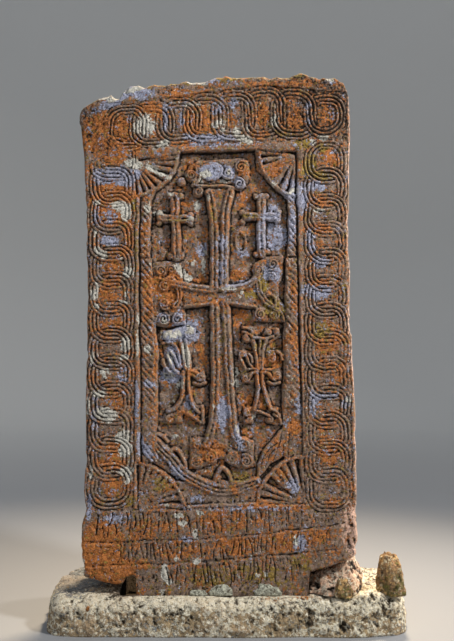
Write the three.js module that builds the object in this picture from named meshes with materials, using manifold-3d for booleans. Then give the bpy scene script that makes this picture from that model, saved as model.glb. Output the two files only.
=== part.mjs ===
// Cross stone: a carved stele with a tenon, standing in the socket of a rough base stone.
// A bed of mortar and two loose stones pack the space under its right shoulder.
// Millimetres, +X to the right of someone facing the carving, +Y to the back, +Z up.
import * as THREE from 'three';
import { mergeVertices } from 'three/addons/utils/BufferGeometryUtils.js';
import Module from 'manifold-3d';

const wasm = await Module();
wasm.setup();

// ---------- driving dimensions ----------
const GAP = 0.35; // clearance between pieces that touch

const BASE_WIDTH = 1096; // along X
const BASE_DEPTH = 430; // along Y
const BASE_THICK = 108;
const BASE_EDGE = 34; // how far the worn top edge of the base rolls over
const SOCKET_DEPTH = 60;

const SLAB_X = -20; // the slab's middle, a little left of the base's middle
const SLAB_FRONT_Y = -155; // front face of the slab
const SLAB_THICK = 220;
const TENON_LEFT = -245;
const TENON_RIGHT = 262;

const PANEL_DEPTH = 22; // sunk field behind the cross
const BORDER_DEPTH = 6; // ground of the two knotwork borders
const CROSS_FACE = 4; // face of the raised work in the panel, behind the rim
const RULE_DEPTH = 2.5; // lines cut across the foot of the face
const RULE_WIDTH = 5;

const RING_WIDE = 134; // one link of the knotwork border
const RING_TALL = 136;
const RING_BAND = 28;
const RING_ROUND = 50; // outer corner radius of a link
const SIDE_RINGS = 13;
const SIDE_PITCH = 82;
const TOP_PITCH = 88;

const MORTAR_RIGHT = 455;
const MORTAR_BACK = 205;
const SHOULDER_CLEAR = 5; // open joint between the mortar and the shoulder above

// ---------- colours ----------
const stone = (color, roughness) => new THREE.MeshStandardMaterial({ color, roughness, metalness: 0 });
const SLAB_FINISH = stone(0x6b4a3a, 0.92);
const BASE_FINISH = stone(0xc2b8a4, 0.95);
const MORTAR_FINISH = stone(0xb09078, 0.96);
const SMALL_STONE_FINISH = stone(0x8a7a52, 0.95);
const LARGE_STONE_FINISH = stone(0x9a744a, 0.95);

// ---------- solids ----------
function toSolid(geometry) {
  const bare = geometry.clone();
  bare.deleteAttribute('normal');
  bare.deleteAttribute('uv');
  const merged = mergeVertices(bare, 1e-3);
  return new wasm.Manifold(new wasm.Mesh({
    numProp: 3,
    vertProperties: new Float32Array(merged.attributes.position.array),
    triVerts: new Uint32Array(merged.index.array),
  }));
}

// Back to a mesh, with slivers thinner than a tenth of a millimetre merged away.
function toGeometry(solid) {
  const mesh = solid.simplify(0.1).getMesh();
  const geometry = new THREE.BufferGeometry();
  geometry.setAttribute('position', new THREE.BufferAttribute(new Float32Array(mesh.vertProperties), 3));
  geometry.setIndex(new THREE.BufferAttribute(new Uint32Array(mesh.triVerts), 1));
  geometry.computeVertexNormals();
  return geometry;
}

// A plate whose outline lies in the plane of the face (x, z), from depth yFront to yBack.
function plate(shape, yFront, yBack, curveSegments = 3) {
  const geometry = new THREE.ExtrudeGeometry(shape, { depth: yBack - yFront, bevelEnabled: false, curveSegments });
  geometry.rotateX(Math.PI / 2);
  geometry.translate(0, yBack, 0);
  return toSolid(geometry);
}

const outlineOf = (points) => new THREE.Shape(points.map(([x, z]) => new THREE.Vector2(x, z)));

function roundedRect(path, cx, cz, width, height, radius) {
  const left = cx - width / 2;
  const right = cx + width / 2;
  const low = cz - height / 2;
  const high = cz + height / 2;
  path.moveTo(left + radius, low);
  path.lineTo(right - radius, low);
  path.absarc(right - radius, low + radius, radius, -Math.PI / 2, 0, false);
  path.lineTo(right, high - radius);
  path.absarc(right - radius, high - radius, radius, 0, Math.PI / 2, false);
  path.lineTo(left + radius, high);
  path.absarc(left + radius, high - radius, radius, Math.PI / 2, Math.PI, false);
  path.lineTo(left, low + radius);
  path.absarc(left + radius, low + radius, radius, Math.PI, 1.5 * Math.PI, false);
  return path;
}

function ring(cx, cz, width, height) {
  const shape = roundedRect(new THREE.Shape(), cx, cz, width, height, RING_ROUND);
  const inner = RING_ROUND - RING_BAND;
  shape.holes.push(roundedRect(new THREE.Path(), cx, cz, width - 2 * RING_BAND, height - 2 * RING_BAND, inner));
  return plate(shape, 0.5, BORDER_DEPTH + 2, 2);
}

function disc(cx, cz, radius, yFront, yBack) {
  const geometry = new THREE.CylinderGeometry(radius, radius, yBack - yFront, 10);
  geometry.translate(cx, (yFront + yBack) / 2, cz);
  return toSolid(geometry);
}

const join = (solids) => solids.reduce((all, next) => all.add(next));

// ---------- the slab ----------
// Outline of the face, from the foot of the tenon round by the right side. Its top is a natural break.
const SLAB_OUTLINE = [
  [TENON_LEFT, GAP - SOCKET_DEPTH], [TENON_RIGHT, GAP - SOCKET_DEPTH], [TENON_RIGHT, 20], [252, 58],
  [330, 80], [375, 95], [405, 112],
  [410, 150], [406, 300], [405, 520], [396, 700], [389, 850], [388, 1100], [393, 1380], [390, 1510],
  [375, 1535], [350, 1548], [300, 1546], [270, 1553], [248, 1563], [225, 1555], [135, 1551], [10, 1550],
  [-60, 1531], [-105, 1538], [-170, 1522], [-250, 1525], [-300, 1505], [-330, 1490], [-375, 1478], [-427, 1440],
  [-411, 1300], [-402, 1000], [-400, 700], [-404, 300], [-412, 140], [-405, 48],
  [-355, 35], [-315, 25], [-290, 28], [-280, 45], [-262, 52], [-248, 42], [TENON_LEFT, 10],
];

const PANEL_OUTLINE = [[-243, 256], [250, 270], [247, 500], [232, 1000], [229, 1328], [-243, 1318]];
const BORDER_LEFT = [[-394, 246], [-250, 246], [-250, 1376], [-394, 1376]];
const BORDER_RIGHT = [[252, 240], [395, 240], [389, 1380], [246, 1380]];

// A cross whose arms widen towards their ends.
function crossShape({ x, z, up, down, side, waist, flare }) {
  const arm = (dx, dz, length) => [
    [x + dx * length + dz * (waist + flare), z + dz * length - dx * (waist + flare)],
    [x + dx * length - dz * (waist + flare), z + dz * length + dx * (waist + flare)],
    [x + waist * (dx - dz), z + waist * (dz + dx)],
  ];
  return outlineOf([...arm(1, 0, side), ...arm(0, 1, up), ...arm(-1, 0, side), ...arm(0, -1, down)]);
}

const GREAT_CROSS = { x: 0, z: 884, up: 330, down: 450, side: 150, waist: 26, flare: 12 };
const SMALL_CROSSES = [
  { x: -136, z: 1122, up: 62, down: 108, side: 46, waist: 9, flare: 5 },
  { x: 122, z: 1126, up: 60, down: 104, side: 46, waist: 9, flare: 5 },
  { x: -110, z: 655, up: 120, down: 130, side: 50, waist: 13, flare: 12 },
  { x: 115, z: 662, up: 118, down: 130, side: 50, waist: 13, flare: 12 },
];

// Scroll leaves at the ends of the great cross: x, z, radius.
const LEAVES = [
  [-87, 1250, 20], [-66, 1208, 17], [22, 1254, 20], [63, 1274, 23], [57, 1230, 20], [-30, 1262, 34],
  [-187, 963, 20], [-140, 964, 17], [-168, 910, 18], [-167, 862, 18], [-172, 815, 22], [-128, 817, 18],
  [115, 962, 17], [165, 976, 20], [152, 944, 16], [150, 868, 20], [123, 830, 19], [168, 828, 22],
  [-65, 435, 17], [-68, 387, 21], [-30, 402, 25], [68, 436, 23], [38, 396, 22], [76, 388, 22], [2, 350, 20],
];

// A quarter fan in a corner of the panel, from its hub out to its rim.
function fan(hubX, hubZ, radius, startAngle) {
  const shape = new THREE.Shape();
  shape.moveTo(hubX, hubZ);
  shape.absarc(hubX, hubZ, radius, startAngle, startAngle + Math.PI / 2, false);
  return plate(shape, CROSS_FACE, PANEL_DEPTH + 2, 6);
}

// The boat-shaped curve that carries the great cross.
function crescent() {
  const shape = new THREE.Shape();
  shape.moveTo(-240, 505);
  shape.quadraticCurveTo(-120, 325, 0, 322);
  shape.quadraticCurveTo(120, 325, 240, 505);
  shape.lineTo(240, 440);
  shape.quadraticCurveTo(120, 292, 0, 290);
  shape.quadraticCurveTo(-120, 292, -240, 440);
  return plate(shape, CROSS_FACE, PANEL_DEPTH + 2, 6);
}

const ROPES = [
  [[-241, 1000], [-213, 1000], [-213, 1172], [-241, 1172]],
  [[-241, 385], [-186, 385], [-208, 996], [-241, 996]],
  [[205, 1000], [231, 1000], [229, 1185], [205, 1185]],
  [[194, 548], [241, 548], [233, 996], [200, 996]],
];

// Lines ruled across the foot of the face: left x, left z, right x, right z.
const RULES = [[-400, 250, 385, 276], [-398, 152, 370, 207], [-400, 82, 385, 133]];

function rule([x0, z0, x1, z1]) {
  const half = RULE_WIDTH / 2;
  return plate(outlineOf([[x0, z0 - half], [x1, z1 - half], [x1, z1 + half], [x0, z0 + half]]), -1, RULE_DEPTH);
}

function slabSolid() {
  const sunk = join([
    plate(outlineOf(PANEL_OUTLINE), -1, PANEL_DEPTH),
    plate(outlineOf(BORDER_LEFT), -1, BORDER_DEPTH),
    plate(outlineOf(BORDER_RIGHT), -1, BORDER_DEPTH),
    ...RULES.map(rule),
  ]);
  const ground = plate(outlineOf(SLAB_OUTLINE), 0, SLAB_THICK).subtract(sunk);
  const raised = [crescent()];
  const back = PANEL_DEPTH + 2;
  for (const cross of [GREAT_CROSS, ...SMALL_CROSSES]) {
    raised.push(plate(crossShape(cross), CROSS_FACE, back));
  }
  for (const [x, z, radius] of LEAVES) {
    raised.push(disc(x, z, radius, CROSS_FACE + 1, back));
  }
  for (const rope of ROPES) {
    raised.push(plate(outlineOf(rope), CROSS_FACE, back));
  }
  raised.push(fan(-247, 1322, 130, -Math.PI / 2), fan(233, 1331, 121, Math.PI));
  raised.push(fan(-247, 252, 137, 0), fan(254, 262, 143, Math.PI / 2));
  for (let k = 0; k < SIDE_RINGS; k += 1) {
    const z = 1302 - SIDE_PITCH * k;
    raised.push(ring(-322, z, RING_WIDE, RING_TALL));
    raised.push(ring(318 + 0.4 * k, z + 2, RING_WIDE, RING_TALL));
  }
  return ground.add(join(raised));
}

// The top border's links lie on their sides, in a shallow band of their own above the panel.
function topBorder() {
  const links = [];
  for (let k = 0; k < 7; k += 1) {
    links.push(ring(-248 + TOP_PITCH * k, 1420 + 3.4 * k, RING_TALL, RING_WIDE));
  }
  const band = plate(outlineOf([[-325, 1346], [392, 1368], [388, 1512], [-325, 1490]]), -1, BORDER_DEPTH);
  return { band, links: join(links) };
}

function carvedSlab() {
  const { band, links } = topBorder();
  const face = plate(outlineOf(SLAB_OUTLINE), 0, SLAB_THICK);
  return slabSolid().subtract(band).add(links.intersect(face));
}

// ---------- the base stone ----------
// Slow waves that make an edge uneven.
const ripple = (t, seed) => Math.sin(t * 0.021 + seed) * 0.6 + Math.sin(t * 0.057 + seed * 2.3) * 0.4;

function baseStone() {
  const geometry = new THREE.BoxGeometry(2, 2, 1, 30, 12, 4);
  const p = geometry.attributes.position;
  for (let i = 0; i < p.count; i += 1) {
    const u = p.getX(i);
    const v = p.getY(i);
    const w = p.getZ(i) + 0.5; // 0 at the bottom, 1 at the top
    // Rounds the plan's corners, then rolls the rough sides in towards the top edge.
    const bulge = 1 - 0.045 * (u * v) ** 2;
    const x = u * bulge * BASE_WIDTH / 2;
    const y = v * bulge * BASE_DEPTH / 2;
    const side = Math.max(Math.abs(u), Math.abs(v));
    const roll = side > 0.999 ? BASE_EDGE * 0.55 * w ** 2 : 0;
    const rough = side > 0.999 ? 9 * ripple(x + y, 1.7 + 2 * w) * (0.3 + w) : 0;
    const inX = Math.abs(u) > 0.999 ? Math.sign(u) * (roll + rough + 8) : 0;
    const inY = Math.abs(v) > 0.999 ? Math.sign(v) * (roll + rough + 8) : 0;
    const drop = w > 0.999 && side > 0.999 ? BASE_EDGE * 0.4 : 0;
    p.setXYZ(i, x - inX, y - inY, w * BASE_THICK - drop);
  }
  // Brings the worn block to its full measure.
  geometry.computeBoundingBox();
  const { min, max } = geometry.boundingBox;
  geometry.translate(-(min.x + max.x) / 2, -(min.y + max.y) / 2, 0);
  geometry.scale(BASE_WIDTH / (max.x - min.x), BASE_DEPTH / (max.y - min.y), 1);

  const socket = new THREE.BoxGeometry(
    TENON_RIGHT - TENON_LEFT + 2 * GAP, SLAB_THICK + 2 * GAP, 2 * SOCKET_DEPTH,
  );
  socket.translate(SLAB_X + (TENON_LEFT + TENON_RIGHT) / 2, SLAB_FRONT_Y + SLAB_THICK / 2, BASE_THICK);
  return toSolid(geometry).subtract(toSolid(socket));
}

// ---------- mortar and loose stones ----------
// Underside of the slab's right shoulder, above the base's top.
const shoulderZ = (x) => 58 + Math.max(0, x - 252) * 0.29;

// Mortar fills a wedge-shaped space, standing a little proud of the face and past the slab's side.
function mortarBed() {
  const left = TENON_RIGHT + 1;
  const geometry = new THREE.BoxGeometry(1, 1, 1, 10, 10, 3);
  const p = geometry.attributes.position;
  for (let i = 0; i < p.count; i += 1) {
    const u = p.getX(i) + 0.5;
    const v = p.getY(i) + 0.5;
    const w = p.getZ(i) + 0.5;
    const right = MORTAR_RIGHT - 45 * (1 - v) ** 2;
    const front = -32 + 26 * u ** 2;
    const foot = left + u * (right - left);
    const x = foot - 12 * w * u ** 4;
    const y = front + v * (MORTAR_BACK - front) + 14 * w * (1 - v) ** 3;
    const underSlab = shoulderZ(Math.min(foot, 400)) - SHOULDER_CLEAR;
    const slope = Math.min(1, 0.42 + 2.6 * v) * Math.min(1, 0.3 + 3.4 * (1 - u)) * Math.min(1, 0.5 + 4 * (1 - v));
    p.setXYZ(i, x, y, GAP + w * (underSlab * slope - 4 * Math.abs(ripple(3 * foot + 5 * y, 0.4))));
  }
  return toSolid(geometry);
}

// A field stone: a lumpy ball cut flat where it sits.
function fieldStone({ size, seed }) {
  const ball = new THREE.IcosahedronGeometry(1, 3);
  const p = ball.attributes.position;
  const at = new THREE.Vector3();
  for (let i = 0; i < p.count; i += 1) {
    at.fromBufferAttribute(p, i);
    const lump = 1 + 0.07 * Math.sin(3.1 * at.x + seed) + 0.06 * Math.sin(4.3 * at.y - seed)
      + 0.06 * Math.sin(5.2 * at.z + 2 * seed);
    at.multiplyScalar(lump * 0.5);
    p.setXYZ(i, at.x * size[0], at.y * size[1], Math.max(at.z, -0.36) * size[2]);
  }
  ball.translate(0, 0, 0.36 * size[2] + GAP);
  return ball;
}

const SMALL_STONE = { size: [58, 38, 62], seed: 0.7, place: [361, -24, 0] };
const LARGE_STONE = { size: [92, 104, 132], seed: 2.1, place: [508, 22, 0] };

// ---------- assembly ----------
const group = new THREE.Group();

function addPiece(name, geometry, material, position) {
  const piece = new THREE.Mesh(geometry, material);
  piece.name = name;
  piece.position.set(...position);
  group.add(piece);
}

const onBase = [SLAB_X, SLAB_FRONT_Y, BASE_THICK]; // the foot of the slab's face
const beside = ([x, y, z]) => [onBase[0] + x, onBase[1] + y, onBase[2] + z];

addPiece('base_stone', toGeometry(baseStone()), BASE_FINISH, [0, 0, 0]);
addPiece('carved_slab', toGeometry(carvedSlab()), SLAB_FINISH, onBase);

// The mortar keeps clear of the small stone bedded against it.
const smallStone = fieldStone(SMALL_STONE);
const bedding = smallStone.clone().scale(1.06, 1.06, 1.06).translate(...SMALL_STONE.place).translate(0, 0, -2);
addPiece('mortar_bed', toGeometry(mortarBed().subtract(toSolid(bedding))), MORTAR_FINISH, onBase);
addPiece('small_packing_stone', toGeometry(toSolid(smallStone)), SMALL_STONE_FINISH, beside(SMALL_STONE.place));
const largeStone = fieldStone(LARGE_STONE);
addPiece('large_packing_stone', toGeometry(toSolid(largeStone)), LARGE_STONE_FINISH, beside(LARGE_STONE.place));

export default group;
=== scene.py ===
import math

import bmesh
import bpy
import numpy as np
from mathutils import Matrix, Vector


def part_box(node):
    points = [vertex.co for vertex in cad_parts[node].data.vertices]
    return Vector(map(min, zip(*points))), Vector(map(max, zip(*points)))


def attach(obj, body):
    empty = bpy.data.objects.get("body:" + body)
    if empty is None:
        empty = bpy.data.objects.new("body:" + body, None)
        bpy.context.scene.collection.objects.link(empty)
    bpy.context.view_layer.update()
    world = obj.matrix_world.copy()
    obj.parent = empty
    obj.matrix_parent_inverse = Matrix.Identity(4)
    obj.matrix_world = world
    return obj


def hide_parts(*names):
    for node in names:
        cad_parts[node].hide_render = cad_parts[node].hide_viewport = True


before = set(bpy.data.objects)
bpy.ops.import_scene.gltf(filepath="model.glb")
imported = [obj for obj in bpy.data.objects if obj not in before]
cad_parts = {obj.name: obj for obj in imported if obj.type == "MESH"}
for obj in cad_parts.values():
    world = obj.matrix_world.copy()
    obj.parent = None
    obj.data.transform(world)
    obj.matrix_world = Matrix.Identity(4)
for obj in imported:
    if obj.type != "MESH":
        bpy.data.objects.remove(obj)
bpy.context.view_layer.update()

# ======== The carved slab ========
# One upright block of brown tuff. Its face was dressed flat, marked out, and cut with
# flat and pointed chisels; its top, sides and back were left as they split. It has stood
# outdoors for centuries: the reeds are worn soft and lichens have spread over the face.

MM = 0.001  # the carving is laid out in millimetres, from the slab's middle and the base's top


def node_box(node):
    """The lowest and the highest corner of a node, in millimetres."""
    return [np.array(corner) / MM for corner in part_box(node)]


slab_low, slab_high = node_box("carved_slab")
base_low, base_high = node_box("base_stone")
LEFT_REACH = 427  # from the slab's middle to its broken left corner
SLAB_MIDDLE = slab_low[0] + LEFT_REACH
SLAB_FACE = slab_low[1]
SLAB_THICK = slab_high[1] - slab_low[1]
BASE_TOP = base_high[2]
TENON_FOOT = slab_low[2] - BASE_TOP

# Random values lie on a lattice, which repeats after so many cells and starts at some place in them.
PLANE_CELLS, PLANE_START_X, PLANE_START_Z = 97, 41.7, 23.1
SPACE_CELLS, SPACE_START = 41, 20.3
LAYERS_SUM = 1.75  # of three layers, each half as high as the one before


def value_noise(x, z, size, seed):
    """Smooth random values from -1 to 1, in lumps about `size` across."""
    lattice = np.random.default_rng(seed).random((PLANE_CELLS, PLANE_CELLS)) * 2 - 1
    u, v = x / size + PLANE_START_X, z / size + PLANE_START_Z
    i, j = np.floor(u).astype(int), np.floor(v).astype(int)
    u, v = u - i, v - j
    u, v = u * u * (3 - 2 * u), v * v * (3 - 2 * v)
    i, j, next_i, next_j = [n % PLANE_CELLS for n in (i, j, i + 1, j + 1)]
    low = lattice[i, j] * (1 - u) + lattice[next_i, j] * u
    high = lattice[i, next_j] * (1 - u) + lattice[next_i, next_j] * u
    return low * (1 - v) + high * v


def rough(x, z, size, seed, layers=3):
    """Value noise in layers, each half the size and half the height of the one before."""
    return sum(value_noise(x, z, size / 2**n, seed + n) / 2**n for n in range(layers)) / LAYERS_SUM


def ease(value, low, high):
    """0 below low, 1 above high, and a smooth step between them."""
    t = np.clip((value - low) / (high - low), 0, 1)
    return t * t * (3 - 2 * t)


def along(points, at):
    """The height of an open line of (x, y) points, at x."""
    xs, ys = zip(*points)
    return np.interp(at, xs, ys)


def blur(field, radius):
    """Softens a grid of heights over about `radius` cells each way."""
    for axis in (0, 1):
        margin = [(radius, radius) if a == axis else (0, 0) for a in (0, 1)]
        padded = np.pad(field, margin, mode="edge")
        offsets = range(-radius, radius + 1)
        weights = [math.exp(-2 * (k / radius) ** 2) for k in offsets]
        count = field.shape[axis]
        shifted = [np.take(padded, range(k + radius, k + radius + count), axis) for k in offsets]
        field = sum(w * part for w, part in zip(weights, shifted)) / sum(weights)
    return field


# ---- the outline of the face ----
# The sides as (z, x), the top and the foot as (x, z).
LEFT_EDGE = [(50, -405), (90, -410), (140, -412), (200, -410), (250, -400), (300, -404), (400, -402),
             (600, -402), (700, -400), (900, -398), (1000, -402), (1200, -408), (1300, -411), (1380, -420),
             (1440, -427)]
RIGHT_EDGE = [(112, 405), (150, 410), (300, 406), (520, 405), (580, 402), (700, 396), (780, 394), (850, 389),
              (950, 390), (1050, 388), (1150, 388), (1300, 391), (1380, 393), (1450, 393), (1510, 390)]
TOP_EDGE = [(-427, 1440), (-418, 1452), (-400, 1465), (-375, 1480), (-350, 1490), (-334, 1495),
            (-322, 1484), (-308, 1483), (-296, 1503), (-275, 1520), (-250, 1525), (-230, 1515),
            (-200, 1527), (-170, 1520), (-150, 1530), (-105, 1540), (-90, 1530), (-40, 1537), (-15, 1548),
            (10, 1552), (100, 1549), (135, 1553), (190, 1548), (225, 1555), (248, 1563), (270, 1553),
            (300, 1548), (350, 1548), (375, 1535), (390, 1505)]
FOOT_EDGE = [(-405, 48), (-355, 35), (-315, 25), (-290, 28), (-280, 45), (-262, 52), (-250, 44),
             (-245, TENON_FOOT), (258, TENON_FOOT), (264, 40), (268, 62), (330, 80), (375, 95), (405, 112)]

# The face is a grid of points about 2 mm apart. Every STRIDE-th point of its edge starts a line of the walls.
STRIDE = 4
COLUMNS, ROWS = 105 * STRIDE + 1, 196 * STRIDE + 1
HEIGHT = 1550
SETTLE = 150  # the rows bend to the foot and to the top over this height

across, up = np.meshgrid(np.linspace(0, 1, COLUMNS), np.linspace(0, 1, ROWS), indexing="ij")
row_height = up * HEIGHT


def chipped(at, seed, depth):
    """How far an edge has been knocked in at each place along it."""
    knock = np.maximum(0, rough(at, np.zeros_like(at), 46, seed) - 0.12)
    return depth * knock + 0.9 * (1 + rough(at, np.full_like(at, 9.0), 13, seed + 7))


SIDE_SPARE, TOP_SPARE = 3, 7  # stone outside the outline, for the chips to take
left = along(LEFT_EDGE, row_height) - SIDE_SPARE + chipped(row_height, 11, 7)
right = along(RIGHT_EDGE, row_height) + SIDE_SPARE - chipped(row_height, 12, 8)
X = left * (1 - across) + right * across
foot = along(FOOT_EDGE, X)
top = along(TOP_EDGE, X) + TOP_SPARE - chipped(X, 13, 12) + 3.5 * rough(X, 0 * X, 20, 14)
Z = np.where(row_height < SETTLE, foot + (SETTLE - foot) * row_height / SETTLE, row_height)
from_top = HEIGHT - row_height
Z = np.where(from_top < SETTLE, top - (top - HEIGHT + SETTLE) * from_top / SETTLE, Z)

# Cut by hand, every line of the carving wanders by up to 4 mm.
XW = X + 2.6 * value_noise(X, Z, 60, 3) + 1.5 * value_noise(X, Z, 18, 4)
ZW = Z + 2.6 * value_noise(X, Z, 60, 5) + 1.5 * value_noise(X, Z, 18, 6)
relief = np.zeros_like(X)  # in front of (+) or behind (-) the rim of the face


# ---- the mason's cuts ----
def curve(points, step=5):
    """A smooth line through the points."""
    p = np.array([points[0], *points, points[-1]], float)
    line = []
    for a, b, c, d in zip(p, p[1:], p[2:], p[3:]):
        for t in np.linspace(0, 1, max(2, int(np.hypot(*(c - b)) / step)), endpoint=False):
            bend = (2 * a - 5 * b + 4 * c - d) * t**2 + (3 * b - a - 3 * c + d) * t**3
            line.append(0.5 * (2 * b + (c - a) * t + bend))
    return np.array([*line, p[-1]])


def near_box(points, margin):
    """Which points of the face lie within `margin` of the points' box."""
    p = np.array(points, float)
    low, high = p.min(0) - margin, p.max(0) + margin
    return (XW > low[0]) & (XW < high[0]) & (ZW > low[1]) & (ZW < high[1])


def segment_distance(a, b, x, z):
    """Squared distance from a straight stretch."""
    ex, ez = b[0] - a[0], b[1] - a[1]
    t = np.clip(((x - a[0]) * ex + (z - a[1]) * ez) / (ex * ex + ez * ez + 1e-9), 0, 1)
    return (x - a[0] - ex * t) ** 2 + (z - a[1] - ez * t) ** 2


def line_distance(line, margin):
    """The points near a line, and their distance from it."""
    near = near_box(line, margin)
    best = np.full(near.sum(), 1e9)
    for a, b in zip(line[:-1], line[1:]):
        best = np.minimum(best, segment_distance(a, b, XW[near], ZW[near]))
    return near, np.sqrt(best)


def outline_distance(points, margin):
    """The points near an outline, and their distance from it: negative inside."""
    near = near_box(points, margin)
    x, z = XW[near], ZW[near]
    best, inside = np.full(x.shape, 1e9), np.zeros(x.shape, bool)
    p = np.array(points, float)
    for a, b in zip(p, np.roll(p, -1, 0)):
        best = np.minimum(best, segment_distance(a, b, x, z))
        slope = (b[0] - a[0]) / (b[1] - a[1] + 1e-12)
        inside ^= ((a[1] > z) != (b[1] > z)) & (x < slope * (z - a[1]) + a[0])
    return near, np.where(inside, -1, 1) * np.sqrt(best)


def reed_profile(d, count, pitch, depth):
    """Half-round reeds side by side: 0 on their crests, -depth in the cuts between them."""
    shift = 0 if count % 2 else 0.5
    off_crest = np.abs((d / pitch + shift + 0.5) % 1 - 0.5) * 2
    return -depth * off_crest**1.8


def lay_reeds(line, count, pitch, level, depth=4.5, wall=3.0, over=False):
    """A bundle of reeds that stands along a line. `over` lets it cut what it crosses."""
    half = count * pitch / 2
    near, d = line_distance(line, half + 25)
    inside = d < half
    rise = np.where(inside, level + reed_profile(d, count, pitch, depth), level - depth - wall * (d - half))
    relief[near] = np.where(inside & over, rise, np.maximum(relief[near], rise))


def reeds(lines, *cut):
    """Lays a bundle along each line, bent smoothly: `cut` has its count, pitch, level, depth and wall."""
    for line in lines:
        lay_reeds(curve(line), *cut)


def groove(line, half, level, soft=3.0):
    """A V-shaped cut down to the level."""
    near, d = line_distance(line, half + soft)
    relief[near] = np.minimum(relief[near], level + 30 * (d / (half + soft)) ** 1.5)


def sink(points, level, wall, bevel):
    """Takes the ground inside an outline down to the level."""
    near, d = outline_distance(points, 4)
    relief[near] = np.minimum(relief[near], np.maximum(level, d * wall + bevel))


def raised(points, level, wall=4.0):
    """Leaves the inside of an outline standing, with a rounded edge."""
    near, d = outline_distance(points, 12)
    fall = 1.6  # of the edge, below the level
    rise = np.where(d < 0, level - fall * np.exp(d / 2.5), level - fall - wall * d)
    relief[near] = np.maximum(relief[near], rise)


def boss(x, z, radius, level, wall=3.0, stretch=1.0):
    """A low dome."""
    near = near_box([(x, z)], radius * max(1, stretch) + 14)
    d = np.hypot(XW[near] - x, (ZW[near] - z) / stretch)
    fall = 2  # from its middle to its rim
    rise = np.where(d < radius, level - fall * (d / radius) ** 2, level - fall - wall * (d - radius))
    relief[near] = np.maximum(relief[near], rise)


def scroll(x, z, radius, start, roll, stretch=1.0, level=-4, width=7.0):
    """A rolled leaf: one reed wound inwards on a round pad.

    It starts at an angle in degrees. A roll of 1 winds it 1.35 times round, a negative one the other way."""
    s = np.linspace(0, 1, int(22 * abs(roll)) + 2)
    angle = math.radians(start) + 2 * math.pi * 1.35 * roll * s
    out = (radius - width / 2) * (1 - 0.86 * s)
    boss(x, z, radius - 1, level - 6, 3, stretch)
    spiral = np.stack([x + out * np.cos(angle), z + stretch * out * np.sin(angle)], 1)
    lay_reeds(spiral, 1, width, level, 6, over=True)


def leaves(rolls, **cut):
    """Rolled leaves, each given by its x, z, radius, start and roll, and its stretch if it isn't round."""
    for leaf in rolls:
        scroll(*leaf, **cut)


# ---- the knotwork border ----
# Closed links of three reeds with broadly rounded corners, each woven through the next.
BAND = 17.2  # half the width of a link's band
BAND_PITCH = 11.4
REED_CUT = 8.0


def link_distance(dx, dz, half_x, half_z, corner):
    """Distance from the middle line of a link with rounded corners."""
    qx, qz = np.abs(dx) - half_x + corner, np.abs(dz) - half_z + corner
    outside = np.hypot(np.maximum(qx, 0), np.maximum(qz, 0))
    return outside + np.minimum(np.maximum(qx, qz), 0) - corner


def chain(links, half_of_face, order):
    """Lays the links in order on one half of the band, so that each covers part of the last."""
    for k in order:
        x, z, half_x, half_z, corner, slope = links[k]
        near = near_box([(x - half_x, z - half_z), (x + half_x, z + half_z)], 22) & half_of_face
        dx = XW[near] - x
        dz = ZW[near] - z - slope * dx
        d = np.abs(link_distance(dx, dz, half_x - BAND, half_z - BAND, corner - BAND))
        cut = REED_CUT * (0.85 + 0.3 * value_noise(XW[near], ZW[near], 55, 8))
        strand = -0.4 + reed_profile(d, 3, BAND_PITCH, cut) - 1.5 * ease(d, BAND - 2, BAND)
        relief[near] = np.where(d < BAND, strand, relief[near])


SIDE_LINKS = range(13)
LINK_PITCH = 82
BORDER_GROUND = -3.4
left_links = {k: (-327.5, 1302 - LINK_PITCH * k, 70.5, 70, 60, 0.03) for k in SIDE_LINKS}
right_links = {k: (318.5 + 0.5 * k, 1293.5 - LINK_PITCH * k, 67 + 0.4 * k, 70, 60, 0.03) for k in SIDE_LINKS}
sink([(-399, 244), (-256, 244), (-256, 1374), (-399, 1374)], BORDER_GROUND, 3, 0)
sink([(250, 240), (398, 240), (388, 1376), (247, 1376)], BORDER_GROUND, 3, 0)
for links, middle in ((left_links, -327), (right_links, 320)):
    chain(links, XW < middle, reversed(SIDE_LINKS))
    chain(links, XW >= middle, SIDE_LINKS)

# The top row climbs a little to the right, and its last link is squeezed in beside the corner.
TOP_LINKS = [-285, -207, -125, -44, 42, 131, 222, 318]
LINKS_LOW = [(-300, 1320), (-130, 1346), (42, 1353), (131, 1355), (225, 1358), (320, 1366)]
LINKS_HIGH = [(-300, 1468), (-130, 1488), (-44, 1503), (42, 1517), (131, 1525), (222, 1519), (320, 1502)]
top_links = {}
for n, link_x in enumerate(TOP_LINKS):
    low, high = along(LINKS_LOW, link_x), along(LINKS_HIGH, link_x)
    top_links[n] = (link_x, (low + high) / 2, 72 if n < 7 else 67, (high - low) / 2, 60, 0.02)
sink([(-360, 1324), (-250, 1334), (250, 1352), (388, 1364), (388, 1505), (250, 1520), (131, 1528),
      (-44, 1506), (-130, 1492), (-360, 1470)], BORDER_GROUND, 3, 0)
top_middle = (along(LINKS_LOW, XW) + along(LINKS_HIGH, XW)) / 2
chain(top_links, ZW > top_middle, reversed(range(len(TOP_LINKS))))
chain(top_links, ZW <= top_middle, range(len(TOP_LINKS)))

# ---- the sunk panel and its frame ----
FRAME_LEVEL, FIELD_LEVEL, ROPE_LEVEL = -10, -21, -3.5
ROPE_SLANT, ROPE_PITCH = 1.2, 21
sink([(-242, 256), (250, 270), (249, 500), (245, 700), (238, 930), (233, 1190), (232, 1326), (-118, 1322),
      (-125, 1306), (-249, 1302), (-248, 900), (-243, 600)], FRAME_LEVEL, 5, 0)
sink([(-212, 330), (-188, 500), (-189, 700), (-200, 900), (-213, 1000), (-213, 1175), (-130, 1310),
      (-120, 1324), (108, 1329), (112, 1270), (205, 1180), (204, 1000), (196, 900), (190, 700), (189, 500),
      (200, 330)], FIELD_LEVEL, 5, -8)


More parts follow.
